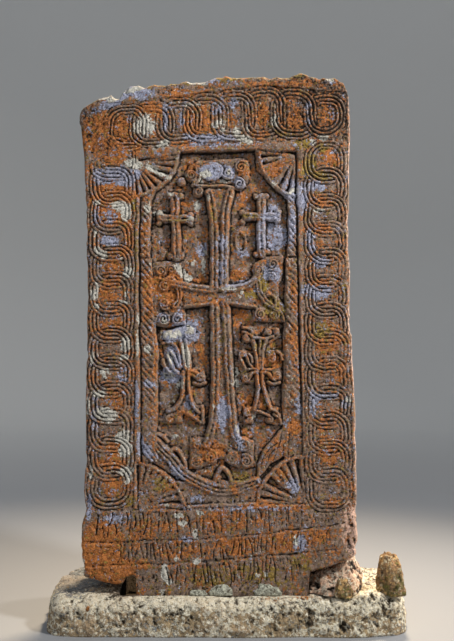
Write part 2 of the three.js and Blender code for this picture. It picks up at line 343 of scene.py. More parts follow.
def rope(corners):
    """A flat moulding with slanting strokes, like a twisted cord."""
    near, d = outline_distance(corners, 3)
    wander = 6 * value_noise(XW[near], ZW[near], 40, 9)
    stroke = ((ZW[near] + ROPE_SLANT * XW[near] + wander) / ROPE_PITCH) % 1
    twist = -5.0 * np.abs(stroke * 2 - 1) ** 2.6 * (0.8 + 0.5 * value_noise(XW[near], ZW[near], 60, 10))
    mound = ROPE_LEVEL + twist - 2.5 * np.exp(d / 3)
    relief[near] = np.maximum(relief[near], np.where(d < 0, mound, -99))


rope([(-242, 1000), (-243, 1172), (-214, 1172), (-213, 1002)])
rope([(-235, 385), (-237, 600), (-242, 996), (-208, 996), (-186, 385)])
rope([(204, 1003), (204, 1190), (228, 1190), (229, 1003)])
rope([(193, 548), (199, 998), (231, 998), (240, 548)])


FAN_LEVEL, FAN_HUB = -5, 28  # the rays' height, and the radius of the plain pad they start from


def fan(hub, rim, rays, pits):
    """A quarter fan of rays with pits between them, which deepen outwards.

    The rim is a list of (angle, radius), and `pits` has a level for every gap, the ends included."""
    first, last = rim[0][0], rim[-1][0]
    near = near_box([hub], max(r for _, r in rim) + 6)
    dx, dz = XW[near] - hub[0], ZW[near] - hub[1]
    radius, angle = np.hypot(dx, dz), np.degrees(np.arctan2(dz, dx))
    angle = np.where(angle < first - 60, angle + 360, angle)
    rim_radius = along(rim, angle)
    sector = (angle > first) & (angle < last)
    to_ray = np.min([np.abs(angle - ray) for ray in rays], axis=0)
    off = np.radians(to_ray) * radius
    ray_half = 3.0 + 0.045 * radius
    rim_band = ease(radius, rim_radius - 13, rim_radius - 9)
    hub_pad = 1 - ease(radius, FAN_HUB - 8, FAN_HUB + 8)
    valley = ease(off, ray_half * 0.6, ray_half + 3.5) * (1 - rim_band) * (1 - hub_pad)
    shallow = FAN_LEVEL - 5
    deep = np.array(pits)[np.searchsorted(rays, angle)]
    pit = shallow + (deep - shallow) * ease(radius / rim_radius, 0.25, 0.7)
    crest = FAN_LEVEL - 2.2 * np.clip(off / ray_half, 0, 1) ** 2
    rim_reed = FAN_LEVEL + 1.2 - 3.0 * (np.abs(radius - rim_radius + 6) / 6) ** 2
    rim_reed = np.maximum(rim_reed, FAN_LEVEL - 4)
    rise = np.where(rim_band > 0.5, rim_reed, crest * (1 - valley) + pit * valley)
    relief[near] = np.where(sector & (radius < rim_radius), np.maximum(rise, pit), relief[near])
    outer = np.maximum(relief[near], FAN_LEVEL - 3 - 4 * (radius - rim_radius))
    relief[near] = np.where(sector & (radius >= rim_radius), outer, relief[near])


fan((-262, 1290), [(-88, 108), (-60, 106), (-45, 112), (-20, 122), (0, 134), (12, 137)],
    [-79, -66, -53, -39, -26, -12, 0, 9], [-12, -19, -20, -19, -14, -12, -13, -20, -14])
fan((226, 1316), [(172, 114), (190, 114), (215, 114), (240, 120), (256, 126), (272, 132)],
    [176, 189, 203, 219, 236, 252, 266], [-14, -20, -14, -9, -9, -14, -18, -12])
fan((-246, 252), [(-2, 146), (20, 138), (45, 134), (70, 130), (92, 136)],
    [3, 14, 24, 34, 44, 54, 64, 73, 83], [-10, -18, -12, -9.5, -9, -9.5, -9, -10, -18, -12])
fan((250, 266), [(88, 142), (110, 140), (140, 138), (165, 142), (182, 144)],
    [92, 106, 118, 129, 138, 157, 168, 179], [-12, -20, -18, -12, -10, -20, -12, -18, -12])

# ---- the great cross ----
raised([(-30, 445), (-34, 470), (-24, 560), (-24, 863), (-60, 858), (-105, 850), (-112, 870), (-115, 895),
        (-116, 922), (-86, 908), (-43, 904), (-27, 906), (-27, 1150), (-38, 1190), (-34, 1217), (14, 1217),
        (36, 1205), (28, 1150), (22, 1096), (22, 905), (42, 907), (77, 913), (96, 926), (112, 940),
        (116, 915), (112, 880), (103, 853), (77, 857), (33, 862), (22, 862), (24, 600), (38, 500),
        (52, 445)], -9)
reeds([[(-36, 1200), (-27, 1165), (-19.5, 1120), (-18.5, 1000), (-17, 905)],
       [(30, 1203), (20, 1165), (13, 1110), (12, 1000), (13, 905)],
       [(-17, 862), (-15, 700), (-14, 600), (-16, 550), (-21, 500), (-29, 468), (-42, 440)],
       [(14, 862), (19, 750), (26, 600), (31, 550), (37, 500), (44, 470), (54, 448), (66, 430)]],
      2, 12.5, -2.5, 5)
reeds([[(-10, 906), (-45, 906), (-86, 909), (-121, 918), (-150, 924), (-168, 930)],
       [(6, 906), (42, 908), (77, 914), (96, 926), (112, 944), (118, 960)]], 2, 10.5, -2.5)
reeds([[(-14, 870), (-32, 864), (-70, 858), (-106, 853)], [(12, 870), (33, 864), (77, 858), (108, 852)]],
      1, 10, -3)
# Each end bends over into a spray of rolled leaves, on ground that is less deep than the panel's.
raised([(-205, 985), (-165, 992), (-120, 986), (-112, 930), (-108, 850), (-105, 800), (-150, 795),
        (-198, 795), (-202, 850)], -11.5, 3)
raised([(98, 982), (140, 1004), (190, 1002), (190, 955), (174, 915), (176, 880), (198, 845), (194, 806),
        (150, 808), (100, 812), (98, 850), (112, 880), (116, 920)], -11.5, 3)
reeds([[(-150, 936), (-132, 920), (-123, 896), (-125, 872), (-138, 854)]], 2, 8.5, -4, 6)
reeds([[(113, 946), (117, 915), (124, 892), (140, 868), (156, 856)]], 2, 9, -4, 6)
reeds([[(142, 886), (156, 888), (167, 876), (168, 856)]], 1, 9, -4, 6)
reeds([[(166, 852), (180, 838), (191, 812)]], 1, 8, -5, 5)

# Its head, with a capital of rolled leaves.
raised([(-82, 1224), (82, 1230), (88, 1262), (84, 1296), (60, 1306), (-60, 1300), (-96, 1280),
        (-100, 1240)], -13, 3)
boss(-28, 1266, 36, -5, 3, 0.8)
reeds([[(-82, 1222), (-34, 1219), (14, 1219), (40, 1214)]], 1, 8, -3, 4)
reeds([[(-76, 1230), (-66, 1252), (-70, 1276)]], 2, 8, -4, 4)
boss(-117, 1233, 11, -7)
leaves([(-87, 1252, 19, -90, 1.4), (-68, 1203, 17, 90, -1.2), (63, 1277, 22, 60, 1.3),
        (57, 1226, 20, 100, -1.2), (-168, 915, 21, 60, 1.3), (-168, 863, 20, -60, -1.3),
        (-182, 962, 20, -60, 1.4), (-148, 966, 18, 200, -1.2), (-172, 818, 23, 80, -1.4),
        (-129, 817, 20, 120, 1.3), (115, 964, 19, -120, 1.3), (160, 982, 21, -120, 1.3),
        (158, 942, 17, 120, -1.2), (121, 831, 21, 90, 1.4), (162, 829, 19, 90, -1.4),
        (-70, 438, 17, -30, 1.2)])
scroll(22, 1256, 20, 200, 1.2, width=9)
reeds([[(-186, 938), (-172, 934), (-158, 942)]], 1, 8, -5, 4)

# Its foot rests on broad scrolls and a trefoil.
raised([(-92, 456), (-50, 460), (0, 446), (60, 462), (100, 448), (98, 372), (60, 366), (40, 376), (18, 396),
        (-8, 396), (-30, 378), (-90, 366)], -11, 4)
leaves([(-70, 388, 22, 100, 1.5), (-30, 405, 25, 90, -1.7), (68, 436, 26, 200, -1.7),
        (38, 398, 22, 60, 1.5), (77, 389, 23, 120, -1.5)], level=-3, width=8)
reeds([[(-14, 436), (4, 438), (20, 430), (32, 420)]], 2, 7.5, -6, 5)
reeds([[(-17, 324), (-13, 346), (2, 370), (16, 362), (30, 338), (35, 324)]], 1, 11, -5)
boss(-8, 340, 9, -7)

# ---- the small crosses above its arms, and the loop between them ----
for cross_x, top_z, bar_z, foot_z, side, pitch, lean in [(-137, 1186, 1122, 1004, 44, 13, 4),
                                                         (124, 1184, 1127, 1012, 46, 12.5, 2)]:
    reeds([[(cross_x, top_z), (cross_x + lean * 0.3, bar_z), (cross_x + lean, foot_z)]], 2, pitch, -5, 5)
    reeds([[(cross_x - side, bar_z + 1), (cross_x + side, bar_z - 1)]], 2, pitch * 0.92, -5)
for bud_x, bud_z, radius in [(-184, 1137, 11), (-186, 1110, 10), (-90, 1133, 10), (-92, 1110, 10),
                             (-152, 1190, 10), (-122, 1190, 10), (-152, 1010, 11), (-120, 1010, 11),
                             (66, 1138, 10), (69, 1112, 10), (174, 1140, 11), (172, 1117, 10),
                             (107, 1188, 10), (138, 1190, 10), (110, 1012, 11), (144, 1020, 11)]:
    scroll(bud_x, bud_z, radius, 30 + bud_x, 1.0, level=-6, width=6)
reeds([[(62, 1083), (75, 1068), (75, 1030), (62, 1017), (49, 1030), (49, 1068), (62, 1083)]],
      1, 8, -16, 4, 2)

# ---- the two flowering crosses below its arms ----
raised([(66, 796), (100, 794), (112, 766), (124, 766), (134, 790), (180, 790), (182, 762), (150, 744),
        (136, 744), (144, 722), (186, 720), (190, 690), (180, 668), (186, 660), (188, 628), (168, 614),
        (146, 620), (137, 640), (134, 610), (146, 566), (158, 552), (186, 548), (188, 500), (150, 500),
        (138, 528), (108, 532), (98, 500), (68, 502), (68, 550), (104, 556), (105, 630), (92, 620),
        (66, 620), (62, 652), (54, 690), (54, 722), (96, 716), (100, 744), (66, 742)], -14.5)
reeds([[(98, 752), (105, 722), (110, 680), (112, 620), (109, 575), (100, 545)],
       [(136, 752), (128, 722), (126, 680), (127, 620), (137, 578), (152, 546)]], 1, 11, -4, 6)
reeds([[(118, 750), (118, 706), (119, 668)]], 1, 8, -5, 5)
reeds([[(86, 666), (118, 665), (150, 663)]], 1, 6, -4, 4)
reeds([[(112, 657), (98, 655), (89, 640)], [(122, 657), (140, 654), (152, 643), (162, 632)]], 1, 10, -4, 5)
reeds([[(70, 790), (86, 787), (98, 776)], [(70, 775), (84, 772), (95, 764)],
       [(92, 772), (102, 759), (126, 757)], [(128, 757), (146, 759), (158, 764)],
       [(60, 698), (68, 684), (76, 668)], [(76, 704), (84, 690), (96, 672)],
       [(86, 708), (94, 700), (97, 686)], [(144, 626), (158, 620), (178, 624)],
       [(108, 540), (126, 536), (146, 526)], [(150, 546), (168, 538), (178, 522)],
       [(160, 530), (176, 518), (184, 502)], [(170, 716), (184, 708), (186, 694)]], 1, 8, -5, 5)
leaves([(81, 757, 13, 90, 1.2), (143, 774, 13, 180, -1.2), (168, 777, 12, 90, -1.1),
        (68, 708, 16, 90, 1.3, 0.65), (77, 637, 14, 0, -1.2, 1.1), (154, 699, 16, 60, -1.3, 1.1),
        (170, 646, 15, 90, 1.2), (81, 536, 14, 90, 1.2), (84, 514, 13, 180, 1.0), (147, 514, 13, 90, -1.2)],
       level=-5, width=6)

raised([(-180, 782), (-140, 786), (-112, 792), (-76, 788), (-66, 752), (-84, 740), (-90, 700), (-86, 668),
        (-48, 662), (-44, 616), (-74, 614), (-86, 600), (-80, 558), (-48, 554), (-46, 502), (-62, 502),
        (-98, 530), (-112, 532), (-114, 500), (-168, 500), (-168, 532), (-130, 546), (-118, 590),
        (-118, 640), (-140, 644), (-176, 650), (-170, 690), (-172, 735), (-184, 750)], -14.5)
reeds([[(-118, 748), (-112, 706), (-104, 664)], [(-103, 750), (-97, 706), (-93, 664)],
       [(-111, 655), (-110, 612), (-117, 575), (-134, 549), (-154, 540)],
       [(-96, 655), (-93, 610), (-87, 575), (-76, 550), (-62, 534)]], 1, 11, -4, 6)
reeds([[(-172, 742), (-150, 744), (-133, 730), (-125, 704), (-118, 672)],
       [(-150, 716), (-140, 704), (-132, 684), (-122, 664)],
       [(-160, 704), (-152, 684), (-140, 664), (-126, 650)], [(-174, 690), (-166, 670), (-152, 654)],
       [(-96, 661), (-78, 657), (-64, 646)], [(-90, 650), (-78, 644), (-70, 634)],
       [(-78, 622), (-62, 617), (-46, 622)], [(-98, 534), (-80, 522), (-58, 506)],
       [(-54, 552), (-52, 530), (-51, 506)]], 1, 9, -6, 4)
leaves([(-92, 766, 19, 90, -1.4), (-60, 637, 16, 90, 1.2), (-152, 516, 14, 90, 1.2),
        (-125, 514, 13, 90, -1.2)], level=-5, width=6.5)
boss(-152, 766, 20, -7, 2, 0.8)

# ---- the boat that carries the great cross, and the wings beside it ----
raised([(-240, 500), (-200, 470), (-150, 430), (-105, 372), (-100, 345), (-140, 350), (-190, 380),
        (-240, 395)], -11, 3)
reeds([[(-238, 496), (-200, 450), (-150, 400), (-110, 356), (-60, 323), (0, 303), (50, 306), (104, 326)]],
      3, 11, -5, 6)
raised([(108, 332), (112, 380), (128, 420), (152, 452), (178, 482), (200, 502), (246, 502), (246, 405),
        (190, 405), (150, 385), (115, 345)], -8)
for vein in ([(118, 352), (126, 392), (146, 424), (172, 446)], [(134, 372), (146, 404), (164, 428)],
             [(158, 392), (170, 424), (180, 452), (182, 478)], [(206, 410), (204, 445), (206, 482)],
             [(190, 408), (188, 440)]):
    groove(curve(vein), 1.5, -13)
reeds([[(-150, 402), (-142, 424), (-124, 420), (-106, 384), (-100, 352)],
       [(-196, 470), (-172, 462), (-158, 446)]], 1, 9, -6, 4)

# ---- ruled lines and plain chisel notches across the foot ----
RULES = [[(-400, 247), (0, 252), (385, 276)], [(-400, 151), (-121, 158), (77, 173), (230, 188), (372, 208)],
         [(-400, 81), (-142, 90), (77, 106), (200, 115), (388, 134)]]
RULE_HALF, RULE_DEPTH, NOTCH_DEPTH = 4, 3.6, 8.0
for rule in RULES:
    above = (ZW - along(rule, XW)) / RULE_HALF
    cut = np.minimum(relief, -RULE_DEPTH + RULE_DEPTH * np.abs(above) ** 1.3)
    ridge = 1.1 * np.exp(-((above + 1.6) ** 2) / 0.5)
    relief = np.where((np.abs(above) < 1) & (XW < 385), cut, relief + ridge)


def notches(low_line, high_line, first, last, seed):
    """A row of uneven upright strokes and short pecks between two lines, fainter to the right."""
    rng = np.random.default_rng(seed)
    x = first
    while x < last:
        low, high = along(low_line, x), along(high_line, x)
        low, high = low + (high - low) * rng.uniform(0.06, 0.24), high - (high - low) * rng.uniform(0.04, 0.2)
        lean = rng.uniform(-5, 5)
        faint = 1 - 0.45 * ease(x, 90, 260)
        kind = rng.random()
        if kind < 0.35:  # a short stroke, below or above
            low, high = (low, (low + high) / 2) if kind < 0.17 else ((low + high) / 2, high)
        deep = rng.uniform(0.5, 1) * NOTCH_DEPTH * faint
        bow = (x + rng.uniform(-4, 4), (low + high) / 2)
        groove(curve([(x + lean, low), bow, (x - lean - 2, high)], 12), rng.uniform(1.4, 3.4), -deep, 2.6)
        if kind > 0.6:  # a peck beside it
            peck = (x + rng.uniform(5, 11), rng.uniform(low, high))
            groove(np.array([peck, (peck[0] + rng.uniform(-7, 7), peck[1] + 6)]), 2.6, -0.7 * deep, 3)
        x += rng.uniform(8, 16)


notches(RULES[1], RULES[0], -372, 345, 21)
notches(RULES[2], RULES[1], -300, 350, 22)
notches([(-400, 22), (400, 22)], RULES[2], -190, 240, 23)


# ---- wear ----
def oval(x, z, middle_x, middle_z, half_x, half_z, tilt=0):
    """0 in the middle of an oval, 1 on its edge, more beyond. A tilt, in degrees, lifts its right end."""
    c, s = math.cos(math.radians(tilt)), math.sin(math.radians(tilt))
    dx, dz = x - middle_x, z - middle_z
    return np.hypot((dx * c + dz * s) / half_x, (dz * c - dx * s) / half_z)


# The top left corner has lost its carving, but for the strands that lead down from the last link.
corner_wear = 1 - ease(oval(X, Z, -400, 1405, 66, 130), 0.75, 1.1)
corner_wear = np.maximum(corner_wear, 1 - ease(oval(X, Z, -318, 1318, 62, 34, -35), 0.7, 1.1))
streaks = 8 * np.maximum(0, rough(X, 0.35 * Z, 15, 34) - 0.05)
relief = relief * (1 - corner_wear) - (1.0 + streaks) * corner_wear
reeds([[(-350, 1356), (-322, 1322), (-288, 1292)], [(-334, 1366), (-306, 1332), (-274, 1300)]], 2, 9.5, -0.5)

# Above the top row the mason left the point's upright furrows.
above_links = ease(Z - along(LINKS_HIGH, X), 6, 18) * (1 - corner_wear)
relief = relief - above_links * (1.5 + 5.5 * np.maximum(0, rough(X * 1.7, Z * 0.6, 26, 32) + 0.1))

# Rain has softened everything, and most where the lichen holds the wet.
worn = np.clip(0.3 + 0.7 * rough(X, Z, 110, 31), 0, 0.8)
relief = blur(relief, 1)
relief = relief * (1 - worn) + blur(relief, 2) * worn

# The lower right edge has flaked away.
flake = (1 - ease(oval(X, Z, 408, 190, 50, 110), 0.5, 1.0)) * ease(Z, 100, 130)
splinter = X + 0.27 * (Z - 185)  # it broke in splinters that lean along this
relief = relief * (1 - flake) - flake * (10 + 17 * rough(splinter, 0.3 * Z, 26, 33))


def rolled(inside, radius):
    """How far a rounded edge has fallen back, this far inside the outline."""
    d = np.clip(inside, 0, radius)
    return radius - np.sqrt(radius**2 - (radius - d) ** 2)


edge_radius = 10 + 4 * rough(X, Z, 60, 35)
fallen = rolled(X - left, edge_radius) + rolled(right - X, edge_radius + 7) + rolled(top - Z, edge_radius + 7)
fallen += rolled(Z - foot, edge_radius) * (Z > TENON_FOOT + 60)
edge_gap = np.minimum(np.minimum(X - left, right - X), np.minimum(top - Z, Z - foot))
chips = np.maximum(0, rough(X, Z, 42, 36) - 0.18) * 22 * (1 - ease(edge_gap, 4, 26))
ground = ease(-relief, 9, 17)  # the sunk ground kept the marks of the point
grit = 1.4 * rough(X, Z, 30, 37) + 2.3 * rough(X, Z, 12, 38)
coarse_foot = 1 - ease(Z, 235, 262)
grit -= 3.2 * np.maximum(0, rough(1.6 * X, Z, 17, 44)) * coarse_foot
grit += ground * (4.6 * rough(X, Z, 20, 42) + 5.0 * rough(X, Z, 85, 43))
pocks = 5 * np.maximum(0, value_noise(X, Z, 8, 39) - 0.5) * (1 + rough(X, Z, 90, 40))
swell = 2.4 * rough(X, Z, 330, 41, 2)
carved = relief + grit - pocks + swell
face_depth = carved - fallen - chips

# Dirt and painted shade darken the cuts; the crests are rubbed and get a painted highlight.
cut_below = blur(carved, 5) - carved
cut_sharply = blur(carved, 3) - carved
grime = 0.05 + 0.75 * ease(cut_sharply, 0.1, 1.7) + 0.5 * ease(cut_below, 0.3, 3.5)


# ---- from grids to one closed mesh ----
def border(columns, rows):
    """The indices round a grid's edge: along the foot, up the right, back along the top, down the left."""
    i, j = np.arange(columns), np.arange(rows)
    return (np.concatenate([i[:-1], np.full(rows - 1, columns - 1), i[:0:-1], np.zeros(rows - 1, int)]),
            np.concatenate([np.zeros(columns - 1, int), j[:-1], np.full(columns - 1, rows - 1), j[:0:-1]]))


def quads(numbers):
    """The four corners of every cell of a grid of vertex numbers, facing out of the face."""
    corners = [numbers[:-1, :-1], numbers[1:, :-1], numbers[1:, 1:], numbers[:-1, 1:]]
    return np.stack(corners, -1).reshape(-1, 4)


def new_mesh(name, points, faces):
    """A mesh from points in metres."""
    mesh = bpy.data.meshes.new(name)
    mesh.from_pydata(points.tolist(), [], faces)
    return mesh


def closed_block(name, face, rings, far, stride=1):
    """A closed mesh of a fine face, rings of points round the walls, and a coarser far side.

    The walls and the far side use every `stride`-th point of the face's edge, and the last ring is the far
    side's edge. The points are in millimetres: the face's, the rings', then the inside of the far side."""
    fine = np.arange(face.shape[0] * face.shape[1]).reshape(face.shape[:2])
    edge = fine[border(*fine.shape)]
    count = len(edge) // stride
    ring_numbers = fine.size + np.arange(len(rings) * count).reshape(len(rings), count)
    coarse = np.full(far.shape[:2], -1)
    coarse[border(*coarse.shape)] = ring_numbers[-1]
    inner = coarse < 0
    coarse[inner] = ring_numbers[-1, -1] + 1 + np.arange(inner.sum())
    points = np.concatenate([face.reshape(-1, 3), rings.reshape(-1, 3), far[inner]])
    starts = np.append(edge, edge[0])
    spans = [starts[n * stride:(n + 1) * stride + 1] for n in range(count)]
    first = ring_numbers[0]
    faces = quads(fine).tolist()
    faces += [[*span[::-1], first[n], first[(n + 1) % count]] for n, span in enumerate(spans)]
    wrapped = np.concatenate([ring_numbers, ring_numbers[:, :1]], 1)
    faces += quads(wrapped).tolist()
    faces += quads(coarse)[:, ::-1].tolist()
    return new_mesh(name, points * MM, faces), points


def paint(mesh, **values):
    """Stores a value for every vertex, for the materials to read."""
    for name, value in values.items():
        mesh.attributes.new(name, "FLOAT", "POINT").data.foreach_set("value", value.astype(np.float32))


def new_object(name, data):
    """An object in the scene."""
    made = bpy.data.objects.new(name, data)
    bpy.context.collection.objects.link(made)
    return made


def finished_piece(mesh, name, budget=180000):
    """An object with at most `budget` triangles: flat stretches lose points first."""
    piece = new_object(name, mesh)
    triangles = sum(len(face.vertices) - 2 for face in mesh.polygons)
    if triangles > budget:
        thin = piece.modifiers.new("thin", "DECIMATE")
        thin.ratio = budget / triangles
        ready = bpy.data.meshes.new_from_object(piece.evaluated_get(bpy.context.evaluated_depsgraph_get()))
        piece.modifiers.clear()
        piece.data = ready
        ready.name = name
    piece.data.shade_smooth()
    return piece


def at_slab(x, depth, z):
    """A point of the slab in the frame, in millimetres: depth is behind the rim of the face."""
    return np.stack([SLAB_MIDDLE + x, SLAB_FACE + depth, BASE_TOP + z], -1)


# Walls: split and pecked stone, a little inside the outline, and rolled over at the back.
WALL_RINGS = 27
BACK_ROLL = 26
REAR = SLAB_THICK + 10  # before the splits take it back
edge_x, edge_z = [grid[border(COLUMNS, ROWS)][::STRIDE] for grid in (X, Z)]
edge_depth = -face_depth[border(COLUMNS, ROWS)][::STRIDE]
step_x, step_z = np.roll(edge_x, -1) - np.roll(edge_x, 1), np.roll(edge_z, -1) - np.roll(edge_z, 1)
step = np.hypot(step_x, step_z)
travel = np.cumsum(np.hypot(edge_x - np.roll(edge_x, 1), edge_z - np.roll(edge_z, 1)))
left_shoulder = (1 - ease(edge_x, -262, -246)) * (1 - ease(edge_z, 55, 200))
rings = []
for share in np.linspace(1 / WALL_RINGS, 1, WALL_RINGS):
    depth = edge_depth + (REAR - BACK_ROLL * 0.35 - edge_depth) * share
    pecks = 2.2 * rough(travel, depth, 30, 51) + 3
    inset = pecks * ease(depth, 8, 50) + 0.8 * rolled(REAR - depth, BACK_ROLL)
    sag = 34 * ease(depth, 50, 150) * left_shoulder  # the underside comes down behind
    rings.append(at_slab(edge_x - inset * step_z / step, depth, edge_z + inset * step_x / step - sag))
rings = np.array(rings)

coarse_across, coarse_up = across[::STRIDE, ::STRIDE], up[::STRIDE, ::STRIDE]
back_x = X[::STRIDE, ::STRIDE] - (coarse_across * 2 - 1) * BACK_ROLL
back_z = Z[::STRIDE, ::STRIDE] - (coarse_up * 2 - 1) * BACK_ROLL
back = at_slab(back_x, np.full_like(back_x, REAR - 4), back_z)
face = at_slab(X, -face_depth, Z)
slab_mesh, slab_points = closed_block("carved slab", face, rings, back, STRIDE)


def lump_noise(points, size, seed):
    """Smooth random values from -1 to 1 in space, in lumps about `size` across."""
    lattice = np.random.default_rng(seed).random((SPACE_CELLS,) * 3) * 2 - 1
    share = points / size + SPACE_START
    cell = np.floor(share).astype(int)
    share = share - cell
    share = share * share * (3 - 2 * share)
    total = np.zeros(points.shape[:-1])
    for corner in np.ndindex(2, 2, 2):
        weight = np.prod(np.where(np.array(corner) == 1, share, 1 - share), axis=-1)
        total += weight * lattice[tuple(np.moveaxis((cell + corner) % SPACE_CELLS, -1, 0))]
    return total


def lumpy(points, size, seed):
    """Lump noise in three layers, each half the size and half the height of the one before."""
    return sum(lump_noise(points, size / 2**n, seed + n) / 2**n for n in range(3)) / LAYERS_SUM


def swell_mesh(mesh, points, amount, soften=0):
    """Moves every vertex along its normal, by millimetres.

    Softening lets the normals turn slowly round a sharp edge, so that it can't fold over."""
    normals = np.zeros(len(points) * 3, np.float32)
    mesh.vertex_normals.foreach_get("vector", normals)
    normals = normals.reshape(-1, 3)
    ends = np.zeros(len(mesh.edges) * 2, np.int32)
    mesh.edges.foreach_get("vertices", ends)
    first, second = ends[::2], ends[1::2]
    for _ in range(soften):
        total = normals.astype(float)
        for here, there in ((first, second), (second, first)):
            near = [np.bincount(here, normals[there, axis], len(points)) for axis in range(3)]
            total += np.stack(near, 1)
        normals = total / np.linalg.norm(total, axis=1)[:, None]
    mesh.vertices.foreach_set("co", ((points + normals * amount[:, None]) * MM).astype(np.float32).ravel())
    mesh.update()


# The sides and the back are natural splits: shallow steps, broad hollows and small breaks.
px, depth, pz = (slab_points - [SLAB_MIDDLE, SLAB_FACE, BASE_TOP]).T
off_face = ease(depth, 26, 60)
off_face[:X.size] = 0
step_field = 4.6 * lumpy(slab_points, 280, 55) + 0.7 * lumpy(slab_points, 45, 58)
steps = np.floor(step_field) + ease(step_field % 1, 0.72, 1)
split = 5.5 * steps + 5 * lumpy(slab_points, 84, 56) + 3 * lumpy(slab_points, 26, 57)
# The sides and the back are painted darker where the split steps lie deeper.
split_grime = -0.016 * split
split = np.minimum(split - 8, -2) - 9 * ease(depth, 120, 200)  # it never leaves the block
TENON_INSET = 10  # the tenon is even, so that it fits its socket
split = -TENON_INSET + (split + TENON_INSET) * ease(pz, -TENON_INSET, 70)
swell_mesh(slab_mesh, slab_points, split * off_face, soften=40)


# ---- where the lichens grow ----
def cover(x, z, spots, wander=0.3, seed=0):
    """How much of the surface a growth covers, with ragged edges that wander in and out.

    Each spot is an oval: x, z, half its width and height, then its strength and its tilt in degrees."""

    def spot_cover(number, middle_x, middle_z, half_x, half_z, strength=1.0, tilt=0):
        reach = oval(x, z, middle_x, middle_z, half_x, half_z, tilt)
        reach = reach + wander * rough(x, z, 0.9 * (half_x + half_z), seed + number)
        return strength * (1 - ease(reach, 0.4, 1.15))

    total = np.zeros_like(x)
    for number, spot in enumerate(spots):
        total = np.maximum(total, spot_cover(number, *spot))
    return total



ORANGE = [
    (-355, 1385, 105, 110), (-345, 1215, 34, 26), (-320, 1150, 95, 100, 0.92), (-275, 1085, 26, 70, 0.95),
    (-300, 1015, 45, 26, 0.95), (-325, 965, 70, 60, 0.7), (-320, 1330, 90, 50, 0.85),
    (-200, 1450, 70, 60, 0.72), (-90, 1400, 40, 80, 0.85), (-50, 1430, 20, 50, 0.9),
    (35, 1425, 20, 40, 0.8), (126, 1440, 26, 50, 0.95), (225, 1430, 24, 50, 0.9), (120, 1375, 40, 20, 0.8),
    (150, 1530, 240, 24, 0.75), (320, 1460, 80, 60, 0.62), (325, 1305, 40, 40, 0.8),
    (-130, 1345, 60, 20, 0.8), (-120, 1500, 100, 30, 0.72), (-340, 120, 80, 110, 1.15),
    (-310, 60, 85, 30, 1.15), (-250, 85, 80, 24, 0.9), (-370, 190, 30, 60, 0.9), (-230, 190, 60, 40, 0.72),
    (-165, 195, 20, 34, 0.95), (-100, 130, 150, 60, 0.62), (60, 140, 120, 40, 0.7), (20, 215, 90, 40, 0.66),
    (120, 255, 200, 16, 0.75), (240, 160, 160, 50, 0.6, 8), (-320, 430, 34, 24, 0.95),
    (-325, 310, 50, 50, 0.85), (-330, 385, 50, 30, 0.85), (-320, 560, 60, 110, 0.6),
    (-330, 800, 70, 60, 0.62), (-320, 900, 60, 50, 0.62), (-220, 880, 20, 110, 0.85),
    (-225, 1080, 18, 90, 0.72), (-195, 700, 8, 160, 0.8), (330, 760, 70, 90, 0.66), (300, 920, 40, 24, 0.9),
    (300, 1090, 50, 24, 0.8), (320, 1165, 50, 26, 0.85), (330, 660, 60, 60, 0.62), (320, 430, 60, 60, 0.72),
    (320, 500, 60, 40, 0.6), (220, 880, 18, 90, 0.9), (222, 720, 20, 110, 0.72), (225, 490, 30, 30, 0.85),
    (-120, 1150, 90, 60, 0.62), (-130, 1060, 70, 60, 0.55), (-160, 910, 60, 70, 0.85),
    (-60, 930, 60, 20, 0.85), (-50, 870, 90, 26, 0.6), (45, 950, 40, 30, 0.85), (60, 810, 60, 60, 0.72),
    (160, 690, 40, 40, 0.85), (120, 640, 50, 60, 0.66), (115, 560, 80, 40, 0.72), (-120, 725, 14, 20),
    (-148, 690, 14, 24, 1.0, 30), (-60, 720, 20, 50, 0.8), (-85, 655, 24, 16, 0.95),
    (-92, 590, 14, 26, 0.95, 20), (-100, 525, 60, 30, 0.6), (-30, 420, 40, 40, 0.95),
    (70, 470, 50, 30, 0.85), (90, 1270, 60, 50, 0.66), (60, 1180, 40, 60, 0.62), (-90, 1270, 24, 34, 0.8),
    (170, 1275, 30, 40, 0.85), (-215, 1240, 40, 50, 0.75, -40), (-160, 350, 60, 60, 0.5),
    (150, 400, 60, 80, 0.5), (0, 620, 34, 140, 0.5), (330, 270, 50, 30, 0.7), (20, 45, 220, 40, 0.55),
]
